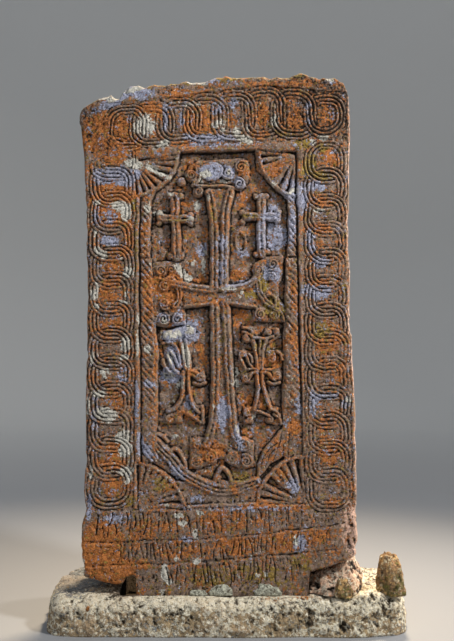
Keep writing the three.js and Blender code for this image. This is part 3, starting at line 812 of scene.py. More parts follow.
LILAC = [
    (-100, 780, 50, 40, 1.15), (-150, 765, 38, 24, 1.1), (-135, 695, 44, 56, 1.05),
    (-150, 640, 44, 24, 1.05), (-110, 710, 14, 60, 0.95), (-100, 565, 14, 34, 0.85),
    (-210, 620, 34, 16, 0.95, -20), (-250, 560, 9, 100, 0.95), (-222, 418, 34, 24, 1.0, -45),
    (-240, 450, 10, 60, 0.95), (-165, 390, 60, 12, 0.7, -35), (-120, 345, 42, 16, 0.85, -40),
    (8, 520, 32, 62), (-70, 272, 26, 18, 0.85), (215, 318, 32, 34, 0.95, -45), (232, 560, 18, 36, 0.85),
    (310, 585, 46, 14, 0.95), (375, 560, 22, 24, 0.9), (278, 555, 12, 50, 0.8), (300, 900, 55, 24),
    (310, 985, 55, 32), (275, 1040, 20, 60, 0.75), (290, 1215, 40, 18, 0.9), (215, 1215, 36, 40),
    (245, 1190, 24, 50, 0.95), (165, 1060, 42, 50, 0.8), (217, 1080, 12, 100, 0.85),
    (155, 1135, 38, 40, 0.95), (125, 1060, 22, 60, 0.85), (5, 1045, 32, 44, 0.9), (5, 960, 26, 60, 0.7),
    (-60, 1030, 26, 30, 0.72), (60, 1020, 30, 20, 0.7), (60, 925, 60, 9, 0.9, 15), (150, 960, 40, 34, 0.9),
    (62, 1232, 24, 18, 0.95), (-25, 1262, 60, 32), (20, 1262, 26, 30), (-300, 1245, 60, 34, 0.85),
    (-330, 1050, 42, 24), (-340, 1120, 40, 26, 0.7), (-360, 1250, 40, 34, 0.62), (-380, 1130, 16, 60, 0.7),
    (-168, 1420, 12, 60, 0.85), (-120, 1420, 14, 40, 0.75), (-10, 1460, 30, 30, 0.6),
    (40, 1470, 20, 16, 0.75), (270, 1430, 14, 50, 0.8), (340, 1435, 26, 40, 0.5), (-40, 1365, 80, 14, 0.8),
    (30, 1345, 160, 12, 0.66), (-60, 1545, 60, 24, 0.9), (-360, 1460, 60, 26, 0.85, 30),
    (-290, 1498, 60, 22, 1.0, 30), (-240, 1500, 50, 24, 0.8), (20, 1535, 60, 16, 0.6),
    (345, 1535, 40, 16, 0.6), (-172, 818, 26, 24, 0.85), (-130, 818, 24, 20), (235, 150, 28, 34, 0.85),
    (-110, 160, 60, 14, 0.6), (-300, 220, 60, 24, 0.6), (-390, 260, 14, 70, 0.8), (-375, 560, 16, 160, 0.6),
    (-290, 640, 50, 40, 0.6), (55, 470, 16, 60, 0.85, 15), (60, 250, 200, 10, 0.5),
]
PALE = [
    (-228, 1400, 46, 44), (-140, 768, 40, 16, 0.75), (-104, 712, 12, 44, 0.8, 10), (-92, 784, 14, 18, 0.7),
    (-150, 700, 20, 34, 0.6, 20), (-160, 645, 26, 14, 0.55), (-172, 1347, 36, 16, 1.0, 30),
    (-265, 1283, 34, 20), (-205, 1270, 48, 12, 1.0, -28), (-160, 1246, 22, 11, 0.9, -40),
    (-308, 1158, 32, 22), (-284, 1142, 19, 36), (-374, 1167, 14, 10), (-376, 1078, 16, 12, 1.0, -30),
    (-362, 1015, 32, 15, 1.0, -40), (-281, 957, 20, 22), (-222, 1145, 14, 22, 0.85), (-188, 1140, 20, 12),
    (-152, 1195, 16, 9, 0.85), (-88, 1120, 13, 10), (-70, 1160, 12, 22, 0.8), (-122, 962, 13, 30, 1.0, 30),
    (-96, 938, 16, 14), (-52, 970, 9, 34, 0.8), (-84, 985, 8, 12, 0.9), (-45, 1255, 24, 16, 0.95),
    (-60, 1235, 9, 18, 0.9), (8, 1237, 22, 9, 0.9), (26, 1262, 9, 14, 0.9), (-36, 1183, 6, 14, 0.9),
    (-42, 1020, 12, 12, 0.7), (22, 908, 26, 8), (62, 892, 8, 20, 0.7, -20), (78, 1362, 30, 15, 1.0, -15),
    (50, 1385, 12, 20, 0.9), (-5, 1408, 24, 18, 0.85), (8, 1390, 16, 10, 0.8), (164, 1418, 14, 28, 0.95),
    (280, 1354, 14, 12), (310, 1366, 17, 14), (84, 1395, 8, 18, 0.8), (300, 1143, 22, 9), (46, 655, 13, 22),
    (50, 622, 13, 16), (62, 750, 6, 10, 0.9), (-27, 762, 6, 14, 0.9), (100, 520, 8, 9, 0.9),
    (-122, 618, 13, 20, 0.9, -30), (-170, 814, 9, 14, 0.9), (-282, 738, 24, 27), (-290, 700, 18, 10, 0.95),
    (-249, 745, 6, 52), (-247, 812, 9, 22), (-218, 726, 14, 16), (-350, 656, 18, 19), (-362, 592, 24, 14),
    (-342, 525, 36, 25), (-290, 462, 32, 24, 1.0, 20), (-284, 425, 20, 28, 1.0, -30), (-286, 362, 27, 17),
    (-276, 335, 14, 17, 1.0, -30), (-384, 892, 12, 20), (-372, 905, 6, 26, 0.9),
    (-290, 866, 24, 5, 0.95, -25), (-283, 890, 6, 20, 0.7), (-372, 850, 9, 16, 0.8),
    (-385, 700, 8, 24, 0.8), (-396, 560, 7, 40, 0.8), (-300, 1000, 9, 6, 0.6), (-135, 463, 11, 9),
    (-160, 260, 13, 7), (-124, 228, 15, 11), (-112, 207, 16, 10), (-130, 102, 12, 8), (-166, 62, 15, 36),
    (-150, 34, 14, 12, 0.9), (-170, 4, 8, 12, 0.9), (-72, 95, 20, 9), (-60, 238, 22, 9, 0.85, -20),
    (-74, 176, 10, 18, 0.8), (55, 49, 6, 7, 0.9), (110, 55, 9, 10, 0.9), (133, 58, 10, 9, 0.95),
    (385, 570, 12, 18, 1.0, 30), (225, 155, 14, 22, 0.75), (215, 1200, 24, 10, 0.7, 30),
    (160, 1222, 8, 8, 0.8), (-20, 552, 6, 16, 0.7), (50, 490, 4, 26, 0.5, 20),
    (-320, 1490, 30, 12, 1.0, 30), (-350, 1490, 20, 10), (-260, 1515, 40, 10, 1.0, 20),
    (-70, 1535, 50, 9, 0.9), (-386, 360, 7, 30, 0.7), (-406, 75, 5, 40, 0.8), (-100, 1470, 60, 8, 0.5),
    (336, 1545, 16, 8, 0.9),
]
MUSTARD = [
    (268, 1275, 22, 50, 1.0, -10), (305, 1250, 40, 20, 0.9), (310, 1335, 20, 16, 0.95),
    (250, 1345, 30, 24, 0.8), (-262, 1160, 9, 24, 0.95), (-140, 1115, 50, 8, 0.9), (95, 1128, 40, 8, 0.9),
    (90, 890, 36, 22, 0.95), (128, 925, 20, 30, 0.85), (305, 778, 36, 26, 0.85), (372, 900, 7, 24, 0.8),
    (140, 60, 130, 44, 0.6), (-20, 50, 90, 40, 0.55), (240, 90, 60, 50, 0.66), (-270, 275, 24, 24, 0.8),
    (-180, 320, 60, 50, 0.66), (-255, 1050, 9, 160, 0.55), (10, 760, 14, 120, 0.6), (50, 345, 40, 20, 0.7),
    (-20, 1130, 20, 40, 0.6), (150, 730, 60, 30, 0.55), (134, 565, 7, 22, 0.9, 20), (20, 1545, 60, 8, 0.8),
    (245, 1555, 24, 10, 0.9), (-100, 1535, 20, 12, 0.8), (160, 850, 50, 40, 0.62), (200, 1380, 60, 20, 0.6),
]

BARE = [
    (-5, 274, 95, 18), (-158, 578, 30, 30), (168, 586, 32, 30), (250, 214, 110, 30, 0.9, 6),
    (300, 300, 90, 40, 0.5), (-165, 1080, 30, 60, 0.5), (-110, 470, 90, 24, 0.5), (330, 640, 50, 20, 0.6),
]
on_face = 1 - off_face


def patches(size, share, seed):
    """Ragged patches in space, over about this share of the sides and the back."""
    field = lumpy(slab_points, size, seed) + 0.4 * lumpy(slab_points, size / 5, seed + 3)
    limit = np.quantile(field[X.size:], 1 - share)
    return ease(field, limit - 0.25, limit + 0.25) * off_face


proud = np.zeros(len(px))  # growths keep to the crests
proud[:X.size] = np.clip(-cut_below.ravel() / 3, -1, 1)
worn_edge = 1 - ease(depth, 20, 52)
worn_edge[:X.size] = ease(fallen, 1.5, 9).ravel()
# A painted highlight along the worn right arris, painted as pale pink fresh stone.
right_edge = worn_edge * ease(px, 340, 372) * (0.8 + 0.9 * lumpy(slab_points, 60, 68))
# Along the worn top edge the growths are painted thicker and paler: partly lichen, partly a painted
# highlight.
top_edge = worn_edge * ease(pz - along(TOP_EDGE, px), -32, -12)
damp = on_face * (1 - ease(pz, 25, 100)) * ease(px, -235, -215)  # right above the base
dark_top = on_face * ease(pz, 1320, 1400) * ease(px, -60, 220)  # dry, and darker than the rest
corner = on_face * cover(px, pz, [(-360, 1390, 90, 110)])
filled_cuts = on_face * cover(px, pz, [(-125, 715, 75, 105), (-320, 1150, 70, 110, 0.5)])
crust = on_face * cover(px, pz, PALE, 0.45, 600)

# The darkening of the face starts from the dirt and painted shade in the cuts.
slab_grime = 0.06 + split_grime
slab_grime[:X.size] = grime.ravel()
# Then the damp foot, the dark top, the top left corner, and a painted shade that darkens the right part of
# the face.
slab_grime += 0.12 * damp + 0.42 * dark_top + 0.36 * corner + 0.08 * on_face * ease(px, 180, 340)
slab_grime -= 0.06 * crust + 0.3 * filled_cuts
# Worn edges and crests are painted paler: partly wear, partly a painted highlight.
rubbed = 0.5 * worn_edge
rubbed[:X.size] += np.clip(-0.3 * cut_below.ravel() - 0.1, 0, 1)
orange = on_face * np.maximum(0.42, 1.08 * cover(px, pz, ORANGE, 0.5, 400)) + 0.2 * off_face
orange += 0.1 * proud + 0.2 * top_edge + 0.08 * dark_top - 0.16 * damp
orange += 0.5 * patches(230, 0.36, 60) - 0.3 * on_face * cover(px, pz, BARE, 0.5, 800)
thin_lilac = 0.02 + 0.12 * ease(pz, 170, 300)
lilac = on_face * np.maximum(thin_lilac, 1.02 * cover(px, pz, LILAC, 0.6, 500)) + 0.1 * off_face
lilac += 0.5 * patches(150, 0.2, 65) + 0.1 * proud - 0.12 * dark_top
pale = 1.15 * crust + 0.16 * proud + 0.22 * top_edge + 0.7 * patches(60, 0.09, 70)
mustard = on_face * np.maximum(0.24, cover(px, pz, MUSTARD, 0.5, 700)) + 0.14 * off_face
mustard += 0.1 * damp + 0.6 * top_edge + 0.45 * patches(170, 0.16, 75)
flaked = 0.62 - 0.5 * ease(oval(px, pz, 398, 185, 42, 105), 0.6, 1.1) + 0.45 * proud
# Fresh pink stone where the edge flaked, and the painted highlight along the right arris.
fresh = flaked * (depth < 110) * (px > 340) + 0.66 * right_edge
paint(slab_mesh, grime=slab_grime, rubbed=rubbed, orange=orange, mustard=mustard, lilac=lilac, pale=pale,
      fresh=fresh)
slab = finished_piece(slab_mesh, "carved_slab_stone", 196000)


# ---- stone finishes ----
def colour(code):
    """A paint-chart code as a linear colour."""
    parts = [int(code[n:n + 2], 16) / 255 for n in (0, 2, 4)]
    return [((c + 0.055) / 1.055) ** 2.4 if c > 0.04 else c / 12.92 for c in parts] + [1]


def fill(tree, node, inputs):
    """Sets a node's inputs, or links them to other nodes."""
    for name, value in inputs.items():
        if isinstance(value, bpy.types.NodeSocket):
            tree.links.new(value, node.inputs[name])
        else:
            node.inputs[name].default_value = value


def add(tree, kind, inputs, **settings):
    """Adds a node, sets it up and fills its inputs."""
    node = tree.nodes.new(kind)
    for name, value in settings.items():
        setattr(node, name, value)
    fill(tree, node, inputs)
    return node


def calculate(tree, operation, first, second):
    """One step of arithmetic."""
    return add(tree, "ShaderNodeMath", {0: first, 1: second}, operation=operation).outputs[0]


def weighted(tree, *terms):
    """The sum of some values, each times its weight."""
    total, *others = [calculate(tree, "MULTIPLY", value, weight) for value, weight in terms]
    for other in others:
        total = calculate(tree, "ADD", total, other)
    return total


# A mix node has sockets for every kind of value. These are the ones for colours.
SHARE, BELOW, ABOVE, MIXED = 0, 6, 7, 2


def blend(tree, share, below, above, mode="MIX"):
    """Lays one colour over another."""
    given = {SHARE: share, BELOW: below, ABOVE: above}
    return add(tree, "ShaderNodeMix", given, data_type="RGBA", blend_type=mode).outputs[MIXED]


def noise(tree, vector, scale, detail, roughness):
    """Cloudy noise, about 0.5 on average."""
    given = {"Vector": vector, "Scale": scale, "Detail": detail, "Roughness": roughness}
    return add(tree, "ShaderNodeTexNoise", given).outputs["Fac"]


def stretch_range(tree, value, low, high, kind="LINEAR"):
    """0 at low and below, 1 at high and above."""
    given = {"Value": value, "From Min": low, "From Max": high}
    return add(tree, "ShaderNodeMapRange", given, interpolation_type=kind).outputs["Result"]


def painted(tree, name):
    """A value painted on the vertices."""
    return add(tree, "ShaderNodeAttribute", {}, attribute_name=name).outputs["Fac"]


def new_group(name, inputs, outputs):
    """A shader node group with named sockets: (name, kind, value) in and (name, kind) out.

    With it come the values it is given, and the node that takes what it makes."""
    group = bpy.data.node_groups.new(name, "ShaderNodeTree")
    for socket, kind, value in inputs:
        made = group.interface.new_socket(socket, in_out="INPUT", socket_type="NodeSocket" + kind)
        if kind != "Vector":
            made.default_value = value
    for socket, kind in outputs:
        group.interface.new_socket(socket, in_out="OUTPUT", socket_type="NodeSocket" + kind)
    return group, add(group, "NodeGroupInput", {}).outputs, add(group, "NodeGroupOutput", {})


def stone_grain_group():
    """Crystals, pores and broad shades of bare stone."""
    group, given, out = new_group(
        "Stone Grain",
        [("Vector", "Vector", None), ("Grain Size", "Float", 1.0), ("Pore Depth", "Float", 0.6)],
        [("Shade", "Float"), ("Height", "Float")])
    sizing = {0: given["Vector"], "Scale": given["Grain Size"]}
    place = add(group, "ShaderNodeVectorMath", sizing, operation="SCALE").outputs["Vector"]
    broad = noise(group, place, 30, 3, 0.55)
    fine = noise(group, place, 120, 5, 0.75)
    speckle = noise(group, place, 420, 2, 0.6)
    pores = add(group, "ShaderNodeTexVoronoi", {"Vector": place, "Scale": 150.0, "Randomness": 1.0})
    hole = stretch_range(group, pores.outputs["Distance"], 0.1, 0.32)
    dip = calculate(group, "MULTIPLY", calculate(group, "SUBTRACT", 1.0, hole), given["Pore Depth"])
    height = calculate(group, "SUBTRACT", weighted(group, (fine, 0.8), (speckle, 0.25)), dip)
    fill(group, out, {"Shade": weighted(group, (broad, 0.3), (fine, 0.5), (speckle, 0.2)), "Height": height})
    return group


def lichen_patch_group():
    """Where a lichen shows: its cover, broken up into ragged patches and small flecks."""
    group, given, out = new_group(
        "Lichen Patch",
        [("Vector", "Vector", None), ("Cover", "Float", 0.5), ("Patch Scale", "Float", 60.0),
         ("Raggedness", "Float", 0.7), ("Flecks", "Float", 0.7), ("Offset", "Float", 0.0)],
        [("Mask", "Float"), ("Mottle", "Float")])
    moving = {0: given["Vector"], 1: given["Offset"]}
    moved = add(group, "ShaderNodeVectorMath", moving, operation="ADD").outputs["Vector"]
    blotch = noise(group, moved, given["Patch Scale"], 4, 0.62)
    fleck = noise(group, moved, 125, 3, 0.7)
    level = given["Cover"]
    for field, low, high, amount in ((blotch, 0.28, 0.72, "Raggedness"), (fleck, 0.32, 0.68, "Flecks")):
        lift = calculate(group, "SUBTRACT", stretch_range(group, field, low, high), 0.5)
        level = calculate(group, "ADD", level, calculate(group, "MULTIPLY", lift, given[amount]))
    mask = stretch_range(group, level, 0.42, 0.68, "SMOOTHSTEP")
    fill(group, out, {"Mask": mask, "Mottle": noise(group, moved, 190, 4, 0.75)})
    return group


def weathering_group():
    """Dirt and painted shade in the hollows, and paler stone with a painted highlight where the edges are
    rubbed.
    """
    group, given, out = new_group(
        "Weathering",
        [("Vector", "Vector", None), ("Color", "Color", (0.5, 0.5, 0.5, 1)), ("Dirt", "Float", 0.0),
         ("Rubbed", "Float", 0.0), ("Dirt Color", "Color", colour("2a221c"))],
        [("Color", "Color")])
    mottle = noise(group, given["Vector"], 115, 4, 0.75)
    spots = calculate(group, "MULTIPLY", calculate(group, "SUBTRACT", mottle, 0.5), 3.8)
    dirt = stretch_range(group, calculate(group, "ADD", given["Dirt"], spots), 0.2, 0.95)
    dirty = blend(group, dirt, given["Color"], given["Dirt Color"])
    brighter, paler = [calculate(group, "MULTIPLY", given["Rubbed"], share) for share in (0.5, 0.26)]
    lit = blend(group, brighter, dirty, colour("d8c4ae"), "SOFT_LIGHT")
    fill(group, out, {"Color": blend(group, paler, lit, colour("c8b4a2"))})
    return group


STONE_GRAIN, LICHEN_PATCH, WEATHERING = stone_grain_group(), lichen_patch_group(), weathering_group()
GROWTH_OFFSET = 3.7  # moves each growth's patches off the last one's
GROWTH_HEIGHT = 0.35  # a crust's height in the bump, where the grain's is about 1


def new_material(name):
    """A material, its node tree and its shader."""
    material = bpy.data.materials.new(name)
    material.use_nodes = True
    return material, material.node_tree, material.node_tree.nodes["Principled BSDF"]


def stone_finish(name, bare, growths, grain_size, dirt_colour):
    """A stone: bare shades, then growths laid over it one by one, then dirt with painted shade, and wear with
    a painted highlight.

    Each growth gives its dark and light colour, the painted value or number that says how much it covers, its
    patch scale, its raggedness and how far it breaks up into flecks."""
    material, tree, shader = new_material(name)
    place = add(tree, "ShaderNodeTexCoord", {}).outputs["Object"]
    sizing = {"Vector": place, "Grain Size": grain_size}
    grain = add(tree, "ShaderNodeGroup", sizing, node_tree=STONE_GRAIN).outputs
    shade = stretch_range(tree, grain["Shade"], 0.36, 0.62)
    layer = blend(tree, shade, colour(bare[0]), colour(bare[1]))
    height = grain["Height"]
    for number, (dark, light, amount, scale, ragged, flecks) in enumerate(growths):
        growing = {"Vector": place, "Patch Scale": scale, "Raggedness": ragged, "Flecks": flecks,
                   "Cover": painted(tree, amount) if isinstance(amount, str) else amount,
                   "Offset": GROWTH_OFFSET * number}
        patch = add(tree, "ShaderNodeGroup", growing, node_tree=LICHEN_PATCH).outputs
        mottle = stretch_range(tree, patch["Mottle"], 0.33, 0.67)
        layer = blend(tree, patch["Mask"], layer, blend(tree, mottle, colour(dark), colour(light)))
        height = calculate(tree, "ADD", height, calculate(tree, "MULTIPLY", patch["Mask"], GROWTH_HEIGHT))
    wearing = {"Vector": place, "Color": layer, "Dirt": painted(tree, "grime"),
               "Rubbed": painted(tree, "rubbed"), "Dirt Color": colour(dirt_colour)}
    weather = add(tree, "ShaderNodeGroup", wearing, node_tree=WEATHERING).outputs
    gloss = add(tree, "ShaderNodeMapRange", {"Value": grain["Shade"], "To Min": 0.98, "To Max": 0.8})
    bump = add(tree, "ShaderNodeBump", {"Strength": 1.0, "Distance": 0.004, "Height": height})
    fill(tree, shader, {"Base Color": weather["Color"], "Roughness": gloss.outputs["Result"],
                        "Specular IOR Level": 0.25, "Normal": bump.outputs["Normal"]})
    return material


slab.data.materials.append(stone_finish(
    "Lichened brown tuff", ("483a33", "ac9484"),
    [("743e1e", "e69450", "orange", 36.0, 0.75, 0.9),
     ("62502a", "c0a24e", "mustard", 60.0, 0.8, 0.8),
     ("5c5e72", "d4daf6", "lilac", 42.0, 0.95, 0.95),
     ("a2a096", "fffdf4", "pale", 90.0, 0.9, 0.95),
     ("a87c6c", "ffdcc8", "fresh", 60.0, 0.5, 0.5)],
    1.0, "1e1713"))
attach(slab, "root")
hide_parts("carved_slab")

# ======== The base stone ========
# A long rough block of pale, pitted stone with a socket that is longer than the slab's tenon. Only
# its bed and the socket were cut. Its front edge is rounded by rain and feet, and pale crusts cover it.

SOCKET_LEFT, SOCKET_RIGHT = SLAB_MIDDLE - 302, SLAB_MIDDLE + 263
SOCKET_FRONT, SOCKET_BACK = SLAB_FACE - 1, SLAB_FACE + SLAB_THICK + 1
SOCKET_DEPTH = 62
BASE_HALF = (base_high - base_low)[:2] / 2 - 4  # the lumps stand out from it
BASE_CELL = 3.6
CUT_GAP = 0.6  # between the two grid lines at each side of the socket
EDGE_ROLL = 32  # the worn top edge
SIDE_SHARES = np.linspace(0.06, 1, 16)  # where the rings lie, from the top of the sides to the bed


def cut_lines(low, high, first, last):
    """Grid lines from low to high, with a double line at each side of a cut from first to last."""
    stretches = ((low, first), (first + CUT_GAP, last - CUT_GAP), (last, high))
    return np.concatenate([np.linspace(a, b, max(2, round((b - a) / BASE_CELL))) for a, b in stretches])


inner_x, inner_y = BASE_HALF - EDGE_ROLL
line_x = cut_lines(-inner_x, inner_x, SOCKET_LEFT, SOCKET_RIGHT)
line_y = cut_lines(-inner_y, inner_y, SOCKET_FRONT, SOCKET_BACK)
plan_x, plan_y = np.meshgrid(line_x, line_y, indexing="ij")

# The plan is an uneven oblong with blunt corners.
out_x, out_y = np.abs(plan_x) / inner_x, np.abs(plan_y) / inner_y
blunt = 18 * (out_x * out_y) ** 6
sway_x = 11 * (1 + rough(plan_y, np.sign(plan_x) * 50, 110, 71)) * ease(out_x, 0.85, 1) + blunt
sway_y = 9 * (1 + rough(plan_x, np.sign(plan_y) * 50, 150, 72)) * ease(out_y, 0.75, 1) + blunt * 0.5
base_x, base_y = plan_x - np.sign(plan_x) * sway_x, plan_y - np.sign(plan_y) * sway_y
inside = CUT_GAP / 2
in_socket = (plan_x > SOCKET_LEFT + inside) & (plan_x < SOCKET_RIGHT - inside)
in_socket &= (plan_y > SOCKET_FRONT + inside) & (plan_y < SOCKET_BACK - inside)
hump = 24 * (1 - ease(oval(base_x, base_y, SLAB_MIDDLE + 447, SLAB_FACE - 26, 66, 40), 0.3, 1.1))
level = BASE_TOP - 4 + hump  # it rises at the right end, in front
to_rim = np.minimum(inner_x - np.abs(plan_x), inner_y - np.abs(plan_y))
level -= 16 * np.maximum(0, rough(plan_x, plan_y, 90, 78)) * (1 - ease(to_rim, 0, 45))  # lost from the edge
base_face = np.stack([base_x, base_y, np.where(in_socket, BASE_TOP - SOCKET_DEPTH, level)], -1)

# Its edge rolls over a quarter circle, and its sides fall to a flat bed.
edge = base_face[border(*plan_x.shape)]
out = np.roll(edge[:, :2], -1, 0) - np.roll(edge[:, :2], 1, 0)
out = np.stack([out[:, 1], -out[:, 0]], 1) / np.linalg.norm(out, axis=1)[:, None]
base_rings = []
for angle in np.radians(np.arange(10, 91, 10)):
    ring_z = edge[:, 2] - EDGE_ROLL * (1 - math.cos(angle))
    base_rings.append(np.column_stack([edge[:, :2] + out * EDGE_ROLL * math.sin(angle), ring_z]))
side_top = base_rings[-1][:, 2]
for share in SIDE_SHARES:
    under = EDGE_ROLL + 6 * math.sin(0.6 * math.pi * share)
    base_rings.append(np.column_stack([edge[:, :2] + out * under, side_top * (1 - share)]))
base_rings = np.array(base_rings)
bed = np.stack([base_x * 1.03, base_y * 1.1, np.zeros_like(base_x)], -1)
base_mesh, base_points = closed_block("base stone", base_face, base_rings, bed)

# Lumps and deep pores, which fade out at the bed, in the socket and right beside the slab.
bx, by, bz = base_points.T
beside_slab = bx - SLAB_MIDDLE
clear_x = np.maximum(SOCKET_LEFT - bx, bx - SOCKET_RIGHT)
clear_y = np.maximum(SOCKET_FRONT - by, by - SOCKET_BACK)
clear = np.maximum(clear_x, clear_y)  # of the socket, which is where it is negative
loose = ease(clear, 1, 26) * ease(bz, 0.5, 16)
lumps = 7.0 * lumpy(base_points, 95, 73) + 5.5 * lumpy(base_points, 28, 74) + 5.5 * lumpy(base_points, 13, 77)
pores = 8 * np.maximum(0, lumpy(base_points, 26, 75) - 0.2)
pores += 15 * np.maximum(0, lumpy(base_points, 11, 76) - 0.06)
edge_band = ease(-by, 150, 200)  # the front has weathered deepest
carve = (lumps - pores * (0.55 + 0.45 * edge_band)) * loose
swell_mesh(base_mesh, base_points, carve)
# Painted shade: the top at the left of the slab, and the back of the top, are painted grey instead of cream.
shaded = (1 - ease(beside_slab, -440, -300)) * ease(bz, 84, 104) * ease(by, -190, -150)
behind = ease(by, -165, -60)
upper_edge = ease(bz, 55, 92)
# Painted shade under the left shoulder and inside the socket, partly soil.
under_shoulder = 1 - ease(oval(beside_slab, by, -285, SLAB_FACE + 20, 62, 60), 0.5, 1.1)
soil = 0.9 * under_shoulder * ease(bz, 80, 100)
soil += 1.8 * ease(-clear, -1.5, -0.5) * ease(bz, 20, 30)
# Painted highlight: the upper edge is painted paler and creamier, over the wear and the pale crusts.
rubbed = 0.3 + 0.14 * lumps - 0.1 * pores + 0.35 * upper_edge - 0.3 * behind
cream = 0.5 + 0.6 * upper_edge + 0.5 * lumpy(base_points, 60, 82) - 0.6 * shaded - 0.4 * behind
slate = 0.2 + 0.8 * shaded + 0.3 * behind + 0.4 * lumpy(base_points, 80, 84)
SPOTS = [(250, 112, 70, 14, 0.75), (-385, 78, 8, 8), (150, 106, 90, 10, 0.4)]
paint(
    base_mesh,
    grime=np.clip(0.13 * pores * loose - 0.06 * lumps + soil, 0, 1.8),
    rubbed=np.clip(rubbed, 0, 1),
    cream=np.clip(cream, 0, 1.2),
    slate=np.clip(slate, 0, 1),
    spots=cover(beside_slab, bz, SPOTS, 0.3, 83),
)
base = finished_piece(base_mesh, "base_stone_block")
base.data.materials.append(stone_finish(
    "Pale pitted stone", ("6e5e48", "c8b08a"),
    [("5c6064", "9aa0a2", "slate", 60.0, 1.1, 0.5),
     ("d0c19c", "fffdf0", "cream", 70.0, 1.0, 0.9),
     ("a06020", "e08a30", "spots", 90.0, 0.8, 0.6)],
    0.8, "3e352a"))
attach(base, "root")
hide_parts("base_stone")

# ======== The mortar under the right shoulder, and along the foot ========
# A wedge of coarse lime mortar and rubble, thrown in by hand when the leaning slab was made
# firm. Three small pats of it close the joint at the foot of the face.

mortar_low, mortar_high = node_box("mortar_bed")
mortar_size = mortar_high - mortar_low
wedge_u, wedge_v = np.meshgrid(np.linspace(0, 1, 65), np.linspace(0, 1, 77), indexing="ij")
front_line = 4 + 36 * (1 - ease(wedge_u, 0.05, 0.4)) + 22 * wedge_u**2
wedge_x = mortar_low[0] + 3 + wedge_u * (mortar_size[0] - 10 - 44 * (1 - wedge_v) ** 2)
wedge_y = mortar_low[1] + front_line + wedge_v * (mortar_size[1] - front_line - 6)
shoulder = along(FOOT_EDGE, wedge_x - SLAB_MIDDLE) - 4 - 12 * (1 - ease(wedge_v, 0.3, 0.55))
# It thins out towards every side.
slope = np.minimum(1, 0.25 + 2.4 * wedge_v) * np.minimum(1, 0.3 + 3.4 * (1 - wedge_u))
slope = slope * np.minimum(1, 0.5 + 4 * (1 - wedge_v)) * np.minimum(1, 0.25 + 2.2 * wedge_u + wedge_v)
wedge = np.stack([wedge_x, wedge_y, BASE_TOP + 4 + (np.minimum(shoulder, 95) - 4) * slope], -1)
wedge_edge = wedge[border(*wedge_x.shape)]
wedge_rings = np.array([wedge_edge * [1, 1, 1 - share] + [0, 0, (BASE_TOP + 0.4) * share]
                        for share in SIDE_SHARES])
wedge_bed = np.stack([wedge_x, wedge_y, np.full_like(wedge_x, BASE_TOP + 0.4)], -1)
mortar_mesh, mortar_points = closed_block("mortar", wedge, wedge_rings, wedge_bed)
rubble = 10 * lumpy(mortar_points, 32, 91) + 6 * lumpy(mortar_points, 13, 92)
holes = 32 * np.maximum(0, lumpy(mortar_points, 24, 93) - 0.1)
free = ease(mortar_points[:, 2] - BASE_TOP, 1, 14)
swell_mesh(mortar_mesh, mortar_points, (rubble - holes - 2.0) * free)
shaded = 1 - ease(mortar_points[:, 0] - SLAB_MIDDLE, 268, 330)
# Dirt and painted shade in the holes and under the shoulder at the left end, and a painted highlight on the
# lumps.
paint(
    mortar_mesh,
    grime=np.clip(0.02 + 0.16 * holes - 0.07 * rubble + 0.4 * shaded, 0, 1.1),
    rubbed=np.clip(0.15 + 0.08 * rubble, 0, 1),
)
mortar = finished_piece(mortar_mesh, "mortar_wedge")
mortar.data.materials.append(stone_finish(
    "Coarse lime mortar", ("a07c66", "f8d6bc"),
    [("bcae96", "fffae8", 0.45, 60.0, 0.9, 0.7),
     ("54483e", "7c6a5a", 0.3, 60.0, 1.0, 0.7),
     ("9c5c24", "d88a3a", 0.2, 60.0, 1.0, 0.6)],
    0.9, "241f1a"))
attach(mortar, "root")
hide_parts("mortar_bed")


def pat(middle_x, half_width, tall, seed):
    """A half-round pat of mortar pressed against the foot of the face."""
    turn, rise = np.meshgrid(np.linspace(0, math.pi, 41), np.linspace(0, 0.48 * math.pi, 15), indexing="ij")
    shell = np.stack([np.cos(turn) * np.cos(rise), -np.sin(turn) * np.cos(rise), np.sin(rise)], -1)
    ragged = 1 + 0.4 * lumpy(shell * 30 + seed * 57, 15, seed)
    size = np.array([half_width, 10, tall])
    place = np.array([SLAB_MIDDLE + middle_x, SLAB_FACE + 1.5, BASE_TOP - 3])
    return shell * ragged[..., None] * size + place


pat_points, pat_faces = [], []
for number, (middle_x, half_width, tall) in enumerate([(-66, 24, 16), (0, 34, 30), (140, 43, 32)]):
    shell = pat(middle_x, half_width, tall, number)
    numbers = sum(map(len, pat_points)) + np.arange(shell.shape[0] * shell.shape[1]).reshape(shell.shape[:2])
    pat_points.append(shell.reshape(-1, 3))
    pat_faces += quads(numbers)[:, ::-1].tolist()
    rim = numbers[border(*numbers.shape)]
    pat_faces.append(rim.tolist())
pat_points = np.concatenate(pat_points)
pat_mesh = new_mesh("foot pats", pat_points * MM, pat_faces)
crumbs = 1.6 * lumpy(pat_points, 12, 95)
# Dirt and painted shade in the dips, and a painted highlight on the crumbs.
paint(pat_mesh, grime=np.clip(0.1 - 0.15 * crumbs, 0, 1), rubbed=np.clip(0.2 + 0.1 * crumbs, 0, 1))
pats = finished_piece(pat_mesh, "foot_mortar_pats")
pats.data.materials.append(stone_finish(
    "Grey mortar pats", ("7c8074", "bcbeb0"),
    [("a4a898", "e8ecdc", 0.55, 60.0, 0.9, 0.9),
     ("4a463c", "6c6858", 0.26, 60.0, 0.9, 0.9)],
    1.1, "24221e"))
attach(pats, "root")

# ======== The two packing stones ========
# Field stones picked up on the spot: a fist-sized one bedded in the mortar, and a larger
# brown one that leans on nothing but the base. Moss and yellow lichen grow on both.

BROKEN_FACES = 9
JAGGED, GRAINY = 0.26, 0.08  # how far the lumps stand up, as shares of the radius
BEDDED = 0.22  # how much of its points lies under the flat foot

